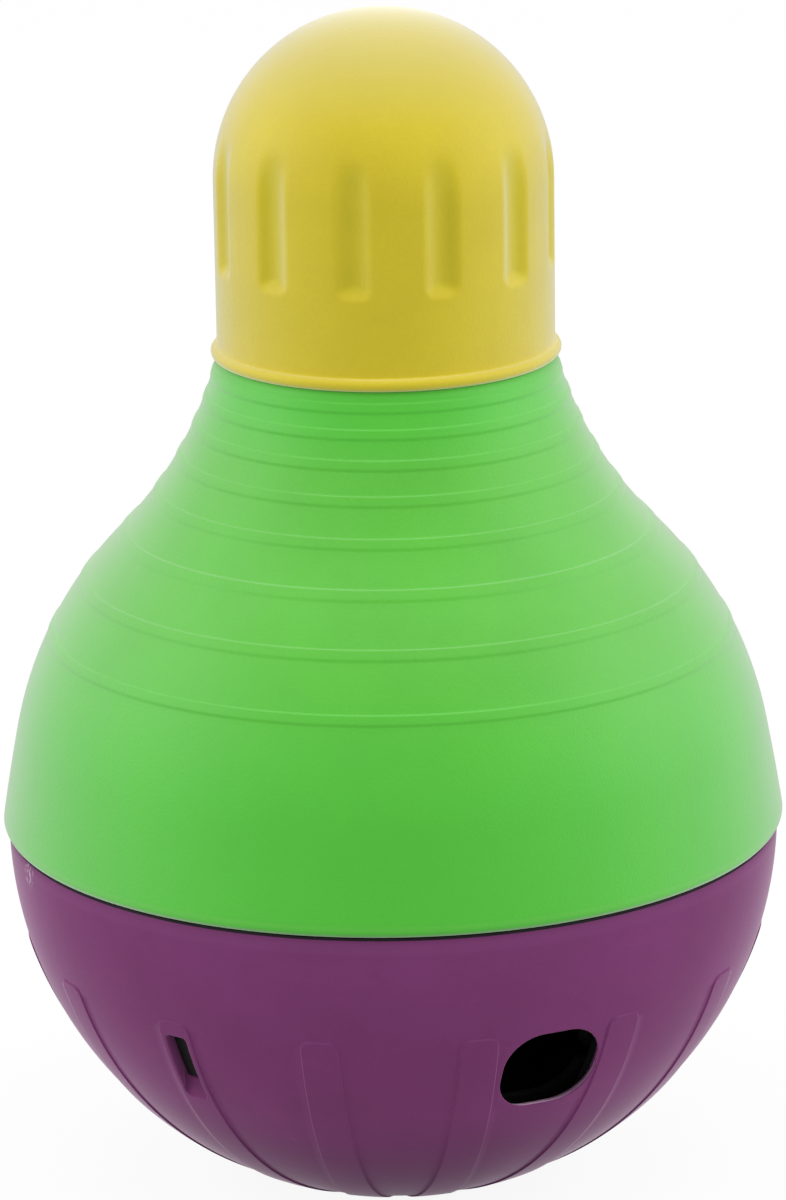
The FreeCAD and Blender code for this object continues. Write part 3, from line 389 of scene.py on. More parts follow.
# %% The green shell
WALL, NECK_OUT = 3.0, 34.75
NECK_BORE = NECK_OUT - WALL
rim = np.concatenate(soft_corners([
    (83.4, 0.3, 0.4), (85.0, 0.3, 0.25), (85.0, 1.3, 0), (87.3, 1.3, 0), (87.3, 0.3, 0.25)]))
outline = np.concatenate([
    arc((0, DOME), NECK_BORE, 90, 0, 20),
    [(NECK_BORE, 134), (NECK_BORE, 120), (NECK_BORE, NECK - WALL)],
    bell(-WALL, (6, 20, 20))[-2::-1],
    [(83.4, 12.0), (83.4, 6.0)],
    rim,
    arc((87.6, 1.9), 1.6, -90, -3, 9),
    outer_side[1:],
    [(37.6, NECK), (36.0, NECK), (NECK_OUT, NECK), (NECK_OUT, NECK + 0.3), (NECK_OUT, 113.1),
     (34.2, 113.4), (33.95, 114.0), (34.2, 114.6), (NECK_OUT, 114.9), (NECK_OUT, 120),
     (NECK_OUT, 134)],
    arc((0, DOME), NECK_OUT, 0, 90, 20),
])


def thread_lug(start):
    """One lug of the four-start thread: a low trapezoid carried along a helix of 24 mm per turn,
    for 40 degrees, with a face at each end."""
    section = np.concatenate(soft_corners([
        (83.9, 1.4, 0.2), (81.6, 1.8, 0.3), (81.6, 3.4, 0.3), (83.9, 3.8, 0.2)], 2))[::-1]
    turn = np.radians(np.linspace(0, 40, 25))[:, None]
    points = turned_points(section[:, 0], section[:, 1] + 24 * turn / (2 * math.pi), start + turn)
    index = numbered(points).T
    faces = [grid_faces(np.concatenate([index, index[:1]]), wrap=False),
             fan_faces(index[:, 0], index.size), fan_faces(index[:, -1], index.size + 1)[:, ::-1]]
    tips = np.stack([points[0].mean(axis=0), points[-1].mean(axis=0)])
    return np.concatenate([points.reshape(-1, 3), tips]), [f[:, ::-1] for f in faces]


lugs = [thread_lug(math.pi / 2 * k) for k in range(4)]
shell = make_piece("shell", [turned(outline, 256, closed=False)] + lugs)
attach(shell, "shell")
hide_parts("upper_shell")

# %% [markdown]
# The cap is soft rubber: a straight dome with a bead round its foot and twelve finger recesses. A
# recess could be cut with a boolean, but rubber has no sharp edges, so the skin is pushed in instead,
# towards a flat 36.4 mm from the axis. The mask that lets it in grows slowly inwards from the recess's
# line, which makes a soft channel. Higher up the dome falls inside that flat, and the recess fades out
# by itself, as it does in the photograph.

# %% The yellow cap
CAP_OUT, CAP_IN = 37.9, 34.9
FIRST_RECESS, RECESS_STEP = -94.9, 30.0
RECESS_FLAT, RECESS_FOOT, RECESS_HALF, RECESS_CORNER = 36.4, 128.4, 3.9, 2.5
pitch = np.array([0, 1.2, 3.0, 4.2, 4.9, 5.5, 6.0, 6.5, 7.0, 7.6, 8.6, 10.2, 12.4])
pitch = np.concatenate([-pitch[:0:-1], pitch])
columns = np.sort(np.radians([pitch + FIRST_RECESS + RECESS_STEP * k for k in range(12)]).ravel())


def recessed(points):
    """The cap's skin let in at the nearest recess, a box with round corners that is open at the top.
    The depth is what stands proud of the flat, or nothing, with a soft change between the two, times
    a smooth step from 0.8 mm outside the box's line to 3.2 mm inside it."""
    first, step = math.radians(FIRST_RECESS), math.radians(RECESS_STEP)
    angle = np.arctan2(points[..., 1], points[..., 0])
    middle = step * np.round((angle - first) / step) + first
    towards = np.stack([np.cos(middle), np.sin(middle)], axis=-1)
    proud = np.sum(points[..., :2] * towards, axis=-1) - RECESS_FLAT
    aside = points[..., 1] * towards[..., 0] - points[..., 0] * towards[..., 1]
    distance = box_distance(np.abs(aside) - (RECESS_HALF - RECESS_CORNER),
                            RECESS_FOOT + RECESS_CORNER - points[..., 2], RECESS_CORNER)
    depth = smooth_step((0.8 - distance) / 4.0) * 0.5 * (proud + np.sqrt(proud ** 2 + 0.09))
    moved = points.copy()
    moved[..., :2] -= towards * depth[..., None]
    return moved


wall = np.concatenate([np.linspace(111.4, 126.4, 9), np.linspace(127.0, 132.4, 18),
                       np.linspace(134, 147, 8)])
cap_out = np.concatenate([
    [(35.6, NECK), (36.6, NECK)],
    arc((CAP_OUT, NECK + 1.4), 1.4, -90, 84, 13),
    [(37.95, NECK + 2.84), (CAP_OUT, NECK + 3.1)],
    np.stack([np.full(len(wall), CAP_OUT), wall], axis=1),
    arc((0, DOME), CAP_OUT, 0, 90, 44),
])
cap_in = np.concatenate([
    arc((0, DOME), CAP_IN, 90, 0, 16),
    [(CAP_IN, 130), (CAP_IN, 114.8), (34.6, 114.6), (34.25, 114.25), (34.2, 114.0),
     (34.25, 113.75), (34.6, 113.4), (CAP_IN, 113.2), (CAP_IN, NECK + 0.5), (35.1, NECK + 0.1)],
])
outline = np.concatenate([cap_in, cap_out])[1:-1]
grid = turned_points(outline[:, :1], outline[:, 1:], columns)
first_out = len(cap_in) - 1
grid[first_out:] = recessed(grid[first_out:])
tips = [[0, 0, DOME + CAP_IN], [0, 0, DOME + CAP_OUT]]
cap = make_piece("cap", [(np.concatenate([grid.reshape(-1, 3), tips]), capped(numbered(grid)))])
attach(cap, "shell")
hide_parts("top_cap")

# %% [markdown]
# The purple bowl is a ball with fifteen low ribs that run like meridians, an outlet between two ribs,
# and three slots in ribs. The columns of its grid follow the edges of the ribs, so that a rib's edge
# stays crisp with few points. Each hole replaces a block of the grid's cells by rings of points that
# go from the block's border to the hole's outline, over the lip, through the wall, and out again on
# the inner sphere.

# %% Ribs of the bowl
RIB = math.radians(24)
FIRST_RIB = math.radians(12 - 90 - 24 * 7)
RIB_HALF, RIB_CORNER, RIB_RISE = 4.15, 2.0, 0.35
RIB_TOP, RIB_END = -25.35, -85.0


def rib_rise(base):
    """How far the skin stands proud of the ball at points of the ball. A rib is a box with round top
    corners, 8.3 mm wide, seen along its own meridian, and its edge is a smooth step."""
    flat = np.hypot(base[..., 0], base[..., 1])
    angle = np.arctan2(base[..., 1], base[..., 0]) - FIRST_RIB
    angle -= RIB * np.round(angle / RIB)
    distance = box_distance(np.abs(flat * np.sin(angle)) - (RIB_HALF - RIB_CORNER),
                            base[..., 2] - (RIB_TOP - RIB_CORNER), RIB_CORNER)
    distance = np.maximum(distance, RIB_END - base[..., 2])
    soft = np.minimum(0.13, np.maximum(0.4 * (flat * RIB - 2 * RIB_HALF), 0.05))
    return RIB_RISE * smooth_step(0.5 - distance / (2 * soft))


def skin(base, drop=0.0):
    """Points of the bowl's outer skin over points of the ball, drop mm below it."""
    return base * (1 + (rib_rise(base) - drop) / BALL)[..., None]


half_rib = np.array([0, 1.2, 2.2, 2.9, 3.4, 3.7, 4.0, 4.08, 4.15, 4.22, 4.3])
half_plain = np.array([0, 0.9, 1.6, 2.0, 2.3, 2.5, 2.56, 2.62, 2.68, 2.74, 2.8])
half_window = np.array([0, 1.1, 2.1, 2.9, 3.5, 3.9, 3.96, 4.02, 4.08, 4.14, 4.2])
window_ribs = {4: -60.0, 9: 60.0, 14: 180.0}


def column_angles(flat, halves):
    """The columns of all ribs' pitches at a distance flat from the axis: at the rib's own distances
    from its middle plane as far as its edge, then evenly to halfway between two ribs."""
    edge = np.arcsin(np.minimum(np.array(halves) / flat[:, None, None], math.sin(RIB * 0.49)))
    free = edge[..., -1:] + (RIB / 2 - edge[..., -1:]) * np.linspace(0, 1, 7)[1:]
    right = np.concatenate([edge, free], axis=-1)
    whole = np.concatenate([-right[..., :0:-1], right], axis=-1)[..., :-1]
    return (whole + RIB * np.arange(15)[:, None]).reshape(len(flat), -1) + FIRST_RIB


per_rib = 2 * (len(half_rib) + 6) - 2
print("columns per rib:", per_rib)

# %% Outline of the bowl
INNER = BALL - WALL
WELL_FLOOR = WALL - CENTRE
HOLE_LEVEL = -36.0


def below_level(flat):
    """The angle in degrees at which the inner ball's lower half is flat mm from the axis."""
    return -math.degrees(math.acos(flat / INNER))


levels_out = np.concatenate([
    [-85.55, -85.35, -85.1, -84.9, -84.6, -84.0],
    -BALL * np.sin(np.linspace(math.asin(83.0 / BALL), math.asin(49.0 / BALL), 25)),
    np.linspace(-48.0, -29.4, 19), np.linspace(-28.7, -25.7, 11), np.linspace(-25.55, -25.1, 6),
    np.linspace(-24.7, -0.8, 14),
])
out_flat = np.sqrt(BALL ** 2 - levels_out ** 2)
foot_rows = np.array([(10.0, -CENTRE), (18.6, -CENTRE), (19.6, -85.69), (20.2, -85.65)])
rim_rows = np.array([(87.93, -0.62), (87.8, -0.44), (87.5, -0.33), (86.0, -0.3), (85.3, -0.3),
                     (85.05, -0.45)])
levels_in = levels_out[levels_out > -49][::-1]
in_flat = np.sqrt(INNER ** 2 - levels_in ** 2)
well = np.concatenate([
    arc((0, 0), INNER, below_level(math.sqrt(INNER ** 2 - 52 ** 2)), below_level(47.4), 8),
    [(46.8, -70.5), (46.8, -66.4), (46.5, -66.0), (44.9, -66.0), (44.6, -66.4), (44.6, -72.0)],
    arc((0, 0), INNER, below_level(44.2), below_level(20.2), 8),
    [(19.4, WELL_FLOOR), (10.0, WELL_FLOOR)],
])
flats = np.concatenate([foot_rows[:, 0], out_flat, rim_rows[:, 0], in_flat, well[:, 0]])
heights = np.concatenate([foot_rows[:, 1], levels_out, rim_rows[:, 1], levels_in, well[:, 1]])
first_out, last_out = len(foot_rows), len(foot_rows) + len(out_flat)
first_in = last_out + len(rim_rows)
rim_top = last_out + 3
inside_flat = np.full(len(flats) - rim_top, math.sqrt(BALL ** 2 - HOLE_LEVEL ** 2))
halves_in = [half_window if k in window_ribs else half_plain for k in range(15)]
angles = np.concatenate([column_angles(np.maximum(flats[:rim_top], 20.6), [half_rib] * 15),
                         column_angles(inside_flat, halves_in)])
grid = turned_points(flats[:, None], heights[:, None], angles)
ball_grid = grid.copy()
grid[first_out:last_out] = skin(grid[first_out:last_out])
index = numbered(grid)
print("bowl grid", grid.shape[:2])

# %% Holes in the bowl
def box_line(half_width, half_height, corner, angle):
    """How far the line of a box with round corners is from its middle, in the direction of each
    angle. The line is sampled closely and read off by direction."""
    t = 0.1 + np.linspace(0, 2 * math.pi, 721)
    x = (half_width - corner) * np.sign(np.cos(t)) + corner * np.cos(t)
    y = (half_height - corner) * np.sign(np.sin(t)) + corner * np.sin(t)
    line = along(np.stack([x, y], axis=1), np.linspace(0, 1, 6001))
    return np.interp(angle, np.arctan2(line[:, 1], line[:, 0]), np.hypot(line[:, 0], line[:, 1]),
                     period=2 * math.pi)


def block_ring(rows, columns):
    """The point numbers round a block of the grid, once round from its first corner."""
    (r0, r1), (c0, c1) = rows, columns
    step = 1 if r1 > r0 else -1
    return np.concatenate([
        index[r0, c0:c1], index[r0:r1:step, c1], index[r1, c1:c0:-1], index[r1:r0:-step, c0]])


def hole(azimuth, height, half_width, half_height, corner, lip, foot, inside, columns, rows, start):
    """The rings of one hole. Seen along its direction, a point is (u, z). Between the block's border
    and the lip, (u, z) goes evenly from one to the other and lies on the skin. The lip is a quarter
    circle: it goes in by lip sin a and down by lip (1 - cos a), and at the hole's foot it is foot
    times as large. The wall behind it goes straight to the ball of radius inside[0], where u and z,
    measured from the middle, are inside[1] times as large and then moved by inside[2]."""
    d = np.array([math.sin(azimuth), -math.cos(azimuth), 0])
    t = np.array([math.cos(azimuth), math.sin(azimuth), 0])

    def on_ball(u, z, radius=BALL):
        v = np.sqrt(radius ** 2 - u ** 2 - z ** 2)
        return v[:, None] * d + u[:, None] * t + z[:, None] * np.array([0, 0, 1])

    border = block_ring(rows[0], columns)
    base = ball_grid.reshape(-1, 3)[border]
    u, z = base @ t, base[:, 2]
    angle = np.arctan2(z - height, u)

    def outline_at(grow):
        far = box_line(half_width + grow, half_height + grow, corner + grow, angle)
        return far * np.cos(angle), height + far * np.sin(angle)

    rings = []
    edge_u, edge_z = outline_at(0.15)
    lip_u, lip_z = outline_at(0.15 - lip)
    blunt = 1 - (1 - foot) * smooth_step((height - half_height + 3.0 - edge_z) / 3.0)
    for share in (0.3, 0.6, 0.85):
        rings.append(skin(on_ball(u + (edge_u - u) * share, z + (edge_z - z) * share)))
    for a in np.radians([0, 18, 36, 54, 72, 90]):
        ring = on_ball(edge_u + (lip_u - edge_u) * blunt * math.sin(a),
                       edge_z + (lip_z - edge_z) * blunt * math.sin(a))
        rings.append(skin(ring, lip * blunt * (1 - math.cos(a))))
    last = rings[-1]
    last_u = last @ t * inside[1][0] + inside[2][0]
    last_z = height + (last[:, 2] - height) * inside[1][1] + inside[2][1]
    inner = on_ball(last_u, last_z, inside[0])
    rings += [last + (inner - last) * share for share in (0.1, 0.5, 0.94, 1.0)]
    rings.append(on_ball(last_u, last_z, INNER + 0.2))
    border_in = block_ring(rows[1], columns)
    ground = ball_grid.reshape(-1, 3)[border_in]
    out_u, out_z = ground @ t, ground[:, 2]
    for share in (0.0, 0.5):
        rings.append(on_ball(last_u + (out_u - last_u) * (0.02 + share),
                             last_z + (out_z - last_z) * (0.02 + share), INNER))
    numbers = start + np.arange(len(rings) * len(border)).reshape(len(rings), -1)
    faces = grid_faces(np.concatenate([border[None], numbers, border_in[None]]))
    return np.concatenate(rings), faces


def row_at(height, outer=True):
    """The number of the grid's row nearest to a height, outside or inside."""
    if outer:
        return first_out + int(np.abs(levels_out - height).argmin())
    return first_in + int(np.abs(levels_in - height).argmin())


def between(rib, step):
    """The column number at a step from the middle of a rib."""
    return per_rib * rib + per_rib // 2 + step


# Azimuth, height, half width, half height, corner, lip, foot, inside, columns, and the rows' heights.
holes = [(0.25, -35.9, 11.5, 9.85, 8.5, 0.2, 1.0, (85.4, (1.08, 1.08), (0.9, -0.35)),
          (between(6, 10), between(7, -10)), (-47.0, -24.7))]
holes += [(azimuth, -37.1, 2.95, 8.4, 1.2, 0.42, 0.15, (85.9, (1.0, 0.7364), (-0.5, 2.175)),
           (between(rib, -5), between(rib, 5)), (-47.0, -27.8))
          for rib, azimuth in window_ribs.items()]

# %% The purple bowl
cells = np.ones((index.shape[0] - 1, index.shape[1]), bool)
points = [grid.reshape(-1, 3), np.array([[0, 0, -CENTRE], [0, 0, WELL_FLOOR]])]
count = index.size
faces = [fan_faces(index[0], count)[:, ::-1], fan_faces(index[-1], count + 1)]
count += 2
for azimuth, height, half_width, half_height, corner, lip, foot, inside, columns, span in holes:
    out_rows = (row_at(span[0]), row_at(span[1]))
    in_rows = (row_at(span[0], False), row_at(span[1], False))
    cells[out_rows[0]:out_rows[1], columns[0]:columns[1]] = False
    cells[in_rows[1]:in_rows[0], columns[0]:columns[1]] = False
    more, strip = hole(math.radians(azimuth), height, half_width, half_height, corner, lip, foot,
                       inside, columns, (out_rows, in_rows), count)
    points.append(more)
    faces.append(strip)
    count += len(more)
faces.append(grid_faces(index)[cells.ravel()])


def boss(azimuth, flat=51.2, in_wall=86.5):
    """A boss with a blind hole, turned about its own axis, which is flat mm from the toy's. Its foot
    stays inside the bowl's wall, at the radius in_wall."""
    line = np.array([(1.55, -66.5), (1.55, -62.0), (1.55, -59.3), (1.75, -59.0), (3.2, -59.0),
                     (3.4, -59.2), (3.4, -64.0), (3.4, -90.0)])[::-1]
    ring = turned_points(line[:, :1], line[:, 1:], np.linspace(0, 2 * math.pi, 32, endpoint=False))
    ring[..., 0] += flat
    ring[..., 2] = np.maximum(
        ring[..., 2], -np.sqrt(in_wall ** 2 - ring[..., 0] ** 2 - ring[..., 1] ** 2))
    cosine, sine = math.cos(azimuth), math.sin(azimuth)
    turn = np.array([[cosine, sine, 0], [-sine, cosine, 0], [0, 0, 1]])
    tips = np.array([[flat, 0, -math.sqrt(in_wall ** 2 - flat ** 2)], [flat, 0, -66.5]])
    return np.concatenate([ring.reshape(-1, 3), tips]) @ turn, capped(numbered(ring))


bowl = make_piece("bowl", [(np.concatenate(points), faces)]
                  + [boss(math.pi / 2 * k) for k in range(4)])
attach(bowl, "bowl")
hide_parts("lower_bowl")

# %% [markdown]
# Between green and purple lies a black line, the shade in the gap at the seam. The seam seal is a
# rubber ring that the shell carries in a groove, with a thin black lip that fills the gap as far as
# the rim: the lip is painted shade, a dark sheet where the gap's shade lies. Only the lip's edge shows.

# %% The seam seal, with its lip of painted shade
# The lip out to 88 mm is painted shade: black rubber where the seam gap's shade lies.
section = np.concatenate(soft_corners([
    (85.3, -0.3, 0.35), (87.5, -0.3, 0.1), (88.0, -0.45, 0.08), (88.0, 0.1, 0.15),
    (87.5, 0.27, 0.1), (87.0, 0.27, 0.1), (87.0, 1.3, 0.35), (85.3, 1.3, 0.35)], 3))
seal_ring = make_piece("seal_ring", [turned(section, 256)])
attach(seal_ring, "seal")
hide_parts("seam_seal")

# %% [markdown]
# The finishes are worked out from the place of a point on the toy, so nothing is painted on a picture
# and nothing has to be unwrapped. Effects that several materials share are node groups: each puts out
# a mask or a height that changes over the surface, and each material gives it its own measures.

# %% Helpers for materials
def new_group(name, numbers, outputs):
    """An empty node group that takes a position and named numbers and puts out named numbers."""
    group = bpy.data.node_groups.new(name, "ShaderNodeTree")
    group.interface.new_socket("Position", in_out="INPUT", socket_type="NodeSocketVector")
    for title, value in numbers.items():
        made = group.interface.new_socket(title, in_out="INPUT", socket_type="NodeSocketFloat")
        made.default_value = value
    for title in outputs:
        group.interface.new_socket(title, in_out="OUTPUT", socket_type="NodeSocketFloat")
    return group, group.nodes.new("NodeGroupInput").outputs, group.nodes.new("NodeGroupOutput")


finish_of = {}


def finish(name, **sockets):
    """Makes a material and keeps it in finish_of. Its shader, with some inputs set, and the position
    on the piece are given back."""
    made = bpy.data.materials.new(name)
    made.use_nodes = True
    finish_of[name] = made
    shader = made.node_tree.nodes["Principled BSDF"]
    feed(shader, **sockets)
    return shader, add("TexCoord", tree=made.node_tree).outputs["Object"]


def effect(group, here, **numbers):
    """What a node group puts out at a position, with a material's own measures."""
    return add("Group", {"node_tree": group}, Position=here, **numbers).outputs


def noise(position, scale, detail=2.0, rough=0.5):
    return add("TexNoise", Vector=position, Scale=scale, Detail=detail, Roughness=rough).outputs[0]


def mix(share, one, other):
    return add("Mix", {"data_type": "RGBA"}, i0=share, i6=one, i7=other).outputs[2]


def tint(shade, mask, strength, over):
    """A shade with another colour over it, as much as the mask times the strength."""
    return mix(times(mask, strength), shade, over)


def uneven(grain):
    """The share of the paler colour: two thirds from the clouds, one third from the grain."""
    return add("Mix", i0=0.33, i2=grain["Clouds"], i3=grain["Grain"]).outputs[0]


def relief(shader, height, distance, strength):
    bump = add("Bump", Height=height, Distance=distance, Strength=strength)
    feed(shader, Normal=bump.outputs[0])


# %% [markdown]
# The moulds of such toys are spark-eroded or etched, which gives the plastic a fine grain that hides
# scratches. The melt also leaves faint clouds, where the pigment is a little denser.

# %% Node group: moulded grain
moulded, given, out = new_group("moulded_grain", {"Grains per metre": 1500.0, "Clouds per metre": 45.0},
                                ["Grain", "Clouds"])
fine = noise(given["Position"], given["Grains per metre"], 2.0, 0.6)
broad = noise(given["Position"], given["Clouds per metre"], 4.0, 0.6)
feed(out, Grain=spread(fine, 0.25, 0.75), Clouds=spread(broad, 0.3, 0.7))
print(moulded.name, "made")

# %% [markdown]
# A toy that is knocked over a floor gets hairline scuffs: short, nearly straight, side by side in small
# patches. Fine parallel lines are where a sawtooth wave is near its middle. Three sets of them run in
# three directions, slightly bent by a noise, and each shows only where its own patchy noise is high.

# %% Node group: scuffs
scuffed, given, out = new_group("scuffs", {"Lines per metre": 400.0, "Line width": 0.06, "Share": 0.3},
                                ["Mask"])
bend = times(noise(given["Position"], 30.0), 9.0)
bare = calc("SUBTRACT", 0.76, times(given["Share"], 0.3))
total = 0.0
for number, way in enumerate(((0.5, 0.3, 0.81), (-0.62, 0.2, 0.76), (0.25, -0.9, 0.36))):
    far = add("VectorMath", {"operation": "DOT_PRODUCT"}, i0=given["Position"], i1=way)
    phase = add("Math", {"operation": "MULTIPLY_ADD"}, i0=far.outputs["Value"],
                i1=given["Lines per metre"], i2=bend).outputs[0]
    saw = calc("ABSOLUTE", calc("SUBTRACT", calc("FRACT", phase), 0.5))
    line = spread(saw, 0.0, given["Line width"], 1.0, 0.0)
    moved = add("VectorMath", {"operation": "ADD"}, i0=given["Position"],
                i1=(3.1 * number, 1.7 * number, 0.0)).outputs[0]
    above = calc("SUBTRACT", noise(moved, 85.0, 3.0, 0.7), bare)
    patch = spread(above, 0.0, 0.06)
    total = calc("ADD", total, times(line, patch))
feed(out, Mask=calc("MINIMUM", total, 1.0))
print(scuffed.name, "made")

# %% [markdown]
# Crumbs of treat and grains of dust stick here and there. Each Voronoi cell has its own number, and
# only the cells with a low one carry a speck, at their middle.

# %% Node group: specks
specked, given, out = new_group("specks", {"Specks per metre": 160.0, "Size": 0.1, "Share": 0.06},
                                ["Mask"])
cell = add("TexVoronoi", Vector=given["Position"], Scale=given["Specks per metre"]).outputs
own_number = add("SeparateColor", Color=cell["Color"]).outputs[0]
chosen = calc("LESS_THAN", own_number, given["Share"])
core = times(given["Size"], 0.6)
round_speck = spread(cell["Distance"], given["Size"], core)
feed(out, Mask=times(chosen, round_speck))
print(specked.name, "made")

# %% [markdown]
# Fine dust lies on what faces up, thicker in some places than in others. The group reads the height of
# the surface's own normal, which is the same from wherever one looks.

# %% Node group: dust
dusty, given, out = new_group("settled_dust", {"Amount": 0.3}, ["Mask"])
normal = add("NewGeometry", tree=dusty).outputs["Normal"]
facing = add("SeparateXYZ", Vector=normal).outputs[2]
film = times(spread(facing, 0.2, 1.0), spread(noise(given["Position"], 60.0, 4.0, 0.65), 0.35, 0.7))
grains = spread(noise(given["Position"], 2600.0, 1.0), 0.5, 0.7, 0.4, 1.0)
feed(out, Mask=times(times(film, grains), given["Amount"]))
print(dusty.name, "made")

# %% [markdown]
# Two marks run round the toy, each at one height: the pale line just above the seam, where the
# shell's rim wears and which also paints a highlight along the rim's edge, and the bowl's paler rim.
# One group makes a band between two heights, softened by the same length at both its edges.

# %% Node group: band at a height
banded, given, out = new_group("height_band", {"Low": 0.0, "High": 0.01, "Soft": 0.001}, ["Mask"])
height = add("SeparateXYZ", Vector=given["Position"]).outputs[2]
above = calc("SUBTRACT", height, given["Low"])
below = calc("SUBTRACT", given["High"], height)
edges = [add("MapRange", {"interpolation_type": "SMOOTHSTEP"}, Value=inside,
             From_Max=given["Soft"]).outputs[0] for inside in (above, below)]
feed(out, Mask=times(*edges))
print(banded.name, "made")


def level(mm):
    """A height in mm about the sphere's middle, as metres above the floor."""
    return (mm + CENTRE) / 1000


# %% [markdown]
# The green shell is lime coloured plastic with an etched, matt skin. Its colour is nearly even, with
# faint clouds. Low down and at the neck it is painted a richer green as painted shade, which at the
# neck is the cap's painted shadow. A pale band just above the seam is partly wear, where the rim
# touches the floor when the toy rolls over, and partly a painted highlight along the rim's edge.

# %% Finish of the green shell
shader, here = finish("shell_green", Sheen_Weight=0.98, Sheen_Roughness=0.5, Specular_IOR_Level=0.4)
grain = effect(moulded, here, Grains_per_metre=1500.0, Clouds_per_metre=38.0)
marks = effect(scuffed, here, Lines_per_metre=420.0, Line_width=0.08, Share=0.2)[0]
# Partly wear and partly a painted highlight: a paler band along the rim's edge above the seam.
rubbed_and_painted_highlight = effect(banded, here, Low=level(1.6), High=level(3.4), Soft=0.0008)[0]
dust = effect(dusty, here, Amount=0.05)[0]
height = add("SeparateXYZ", Vector=here).outputs[2]
# Painted shade: a richer green low down, and the cap's painted shadow at the neck.
deeper_painted_shade = calc("MAXIMUM", spread(height, level(58), level(30), 0.0, 0.5),
              spread(height, level(90), level(102), 0.0, 0.5))
shade = mix(uneven(grain), (0.064, 0.445, 0.008), (0.080, 0.515, 0.012))
shade = mix(deeper_painted_shade, shade, (0.040, 0.56, 0.009))
shade = tint(shade, rubbed_and_painted_highlight, 0.15, (0.20, 0.62, 0.10))
shade = tint(shade, marks, 0.12, (0.28, 0.66, 0.18))
rough = spread(grain["Clouds"], 0.0, 1.0, 0.48, 0.54)
feed(shader, Base_Color=mix(dust, shade, (0.6, 0.7, 0.5)),
     Roughness=calc("SUBTRACT", rough, times(marks, 0.1)))
relief(shader, grain["Grain"], 0.00004, 0.6)
print("shell_green done")

# %% [markdown]
# The cap is soft yellow rubber, painted paler at the top of its dome as painted light from above.
# The floors of its recesses are painted a little darker, as painted shade, and fingers and teeth
# leave them duller than the rest. The recess mask needs no picture: a recess lies nearer to the
# cap's own middle line than the skin does, so the distance from that line tells them apart.

# %% Finish of the yellow cap
shader, here = finish("cap_rubber", Sheen_Weight=1.0, Sheen_Roughness=0.5, Specular_IOR_Level=0.2)
grain = effect(moulded, here, Grains_per_metre=1300.0, Clouds_per_metre=60.0)
crumbs = effect(specked, here, Specks_per_metre=190.0, Size=0.07, Share=0.05)[0]
marks = effect(scuffed, here, Lines_per_metre=450.0, Line_width=0.08, Share=0.15)[0]
dust = effect(dusty, here, Amount=0.04)[0]
place = add("SeparateXYZ", Vector=here).outputs
over = calc("MAXIMUM", calc("SUBTRACT", place[2], level(DOME)), 0.0)
outwards = add("CombineXYZ", X=place[0], Y=place[1], Z=over).outputs[0]
from_line = add("VectorMath", {"operation": "LENGTH"}, i0=outwards).outputs["Value"]
recess = spread(from_line, (CAP_OUT - 0.1) / 1000, (CAP_OUT - 1.0) / 1000)
# Painted light: the top of the dome is mixed paler, as if lit from above.
crown_painted_light = spread(place[2], level(165), level(178))
shade = mix(uneven(grain), (0.607, 0.487, 0.0015), (0.672, 0.547, 0.003))
shade = mix(crown_painted_light, shade, (0.59, 0.49, 0.055))
# Painted shade: the recess floors are mixed darker.
shade = tint(shade, recess, 0.35, (0.53, 0.465, 0.002))
shade = tint(shade, marks, 0.08, (0.72, 0.66, 0.25))
shade = tint(shade, crumbs, 0.12, (0.40, 0.30, 0.03))
rough = calc("ADD", grain["Clouds"], recess)
feed(shader, Base_Color=mix(dust, shade, (0.75, 0.72, 0.5)),
     Roughness=spread(rough, 0.0, 2.0, 0.47, 0.62))
relief(shader, grain["Grain"], 0.00005, 0.6)
print("cap_rubber done")

# %% [markdown]
# The bowl takes the knocks: a deep purple, satin plastic with a velvety sheen, and hairline scuffs that
# show most low down, where it rolls. Its rim is a little paler. Towards the foot it is duller, and its
# colour is painted darker there as painted shade. One pale nick lies just under the seam at the left,
# where the toy has hit a corner.

# %% Finish of the purple bowl
shader, here = finish("bowl_purple", Sheen_Weight=0.75, Sheen_Roughness=0.3,
                      Sheen_Tint=(1.0, 0.84, 0.96), Diffuse_Roughness=1.0, Specular_IOR_Level=0.15)
grain = effect(moulded, here, Grains_per_metre=1700.0, Clouds_per_metre=42.0)
marks = effect(scuffed, here, Lines_per_metre=420.0, Line_width=0.08, Share=0.35)[0]
crumbs = effect(specked, here, Specks_per_metre=150.0, Size=0.06, Share=0.05)[0]
pale_rim = effect(banded, here, Low=level(-4.5), High=level(-0.5), Soft=0.0015)[0]
dust = effect(dusty, here, Amount=0.05)[0]
height = add("SeparateXYZ", Vector=here).outputs[2]
low = spread(height, level(-30), level(-75), 0.35, 1.0)
# Painted shade: the colour is mixed darker towards the foot.
foot_painted_shade = spread(height, level(-48), level(-70), 0.0, 0.75)
nick_place = (-0.0878, 0.0045, level(-2.9))
from_nick = add("VectorMath", {"operation": "DISTANCE"}, i0=here, i1=nick_place).outputs["Value"]
nick = times(spread(from_nick, 0.0042, 0.0015), spread(noise(here, 900.0), 0.5, 0.62))
shade = mix(uneven(grain), (0.216, 0.047, 0.171), (0.262, 0.056, 0.213))
shade = mix(foot_painted_shade, shade, (0.12, 0.03, 0.10))
shade = tint(shade, pale_rim, 0.18, (0.33, 0.09, 0.28))
shade = tint(shade, times(marks, low), 0.16, (0.42, 0.22, 0.36))
shade = tint(shade, crumbs, 0.5, (0.36, 0.25, 0.3))
shade = tint(shade, nick, 0.75, (0.72, 0.56, 0.68))
rough = calc("SUBTRACT", spread(grain["Clouds"], 0.0, 1.0, 0.47, 0.53), times(marks, 0.15))
feed(shader, Base_Color=mix(dust, shade, (0.5, 0.42, 0.48)),
     Roughness=calc("ADD", rough, times(low, 0.3)))
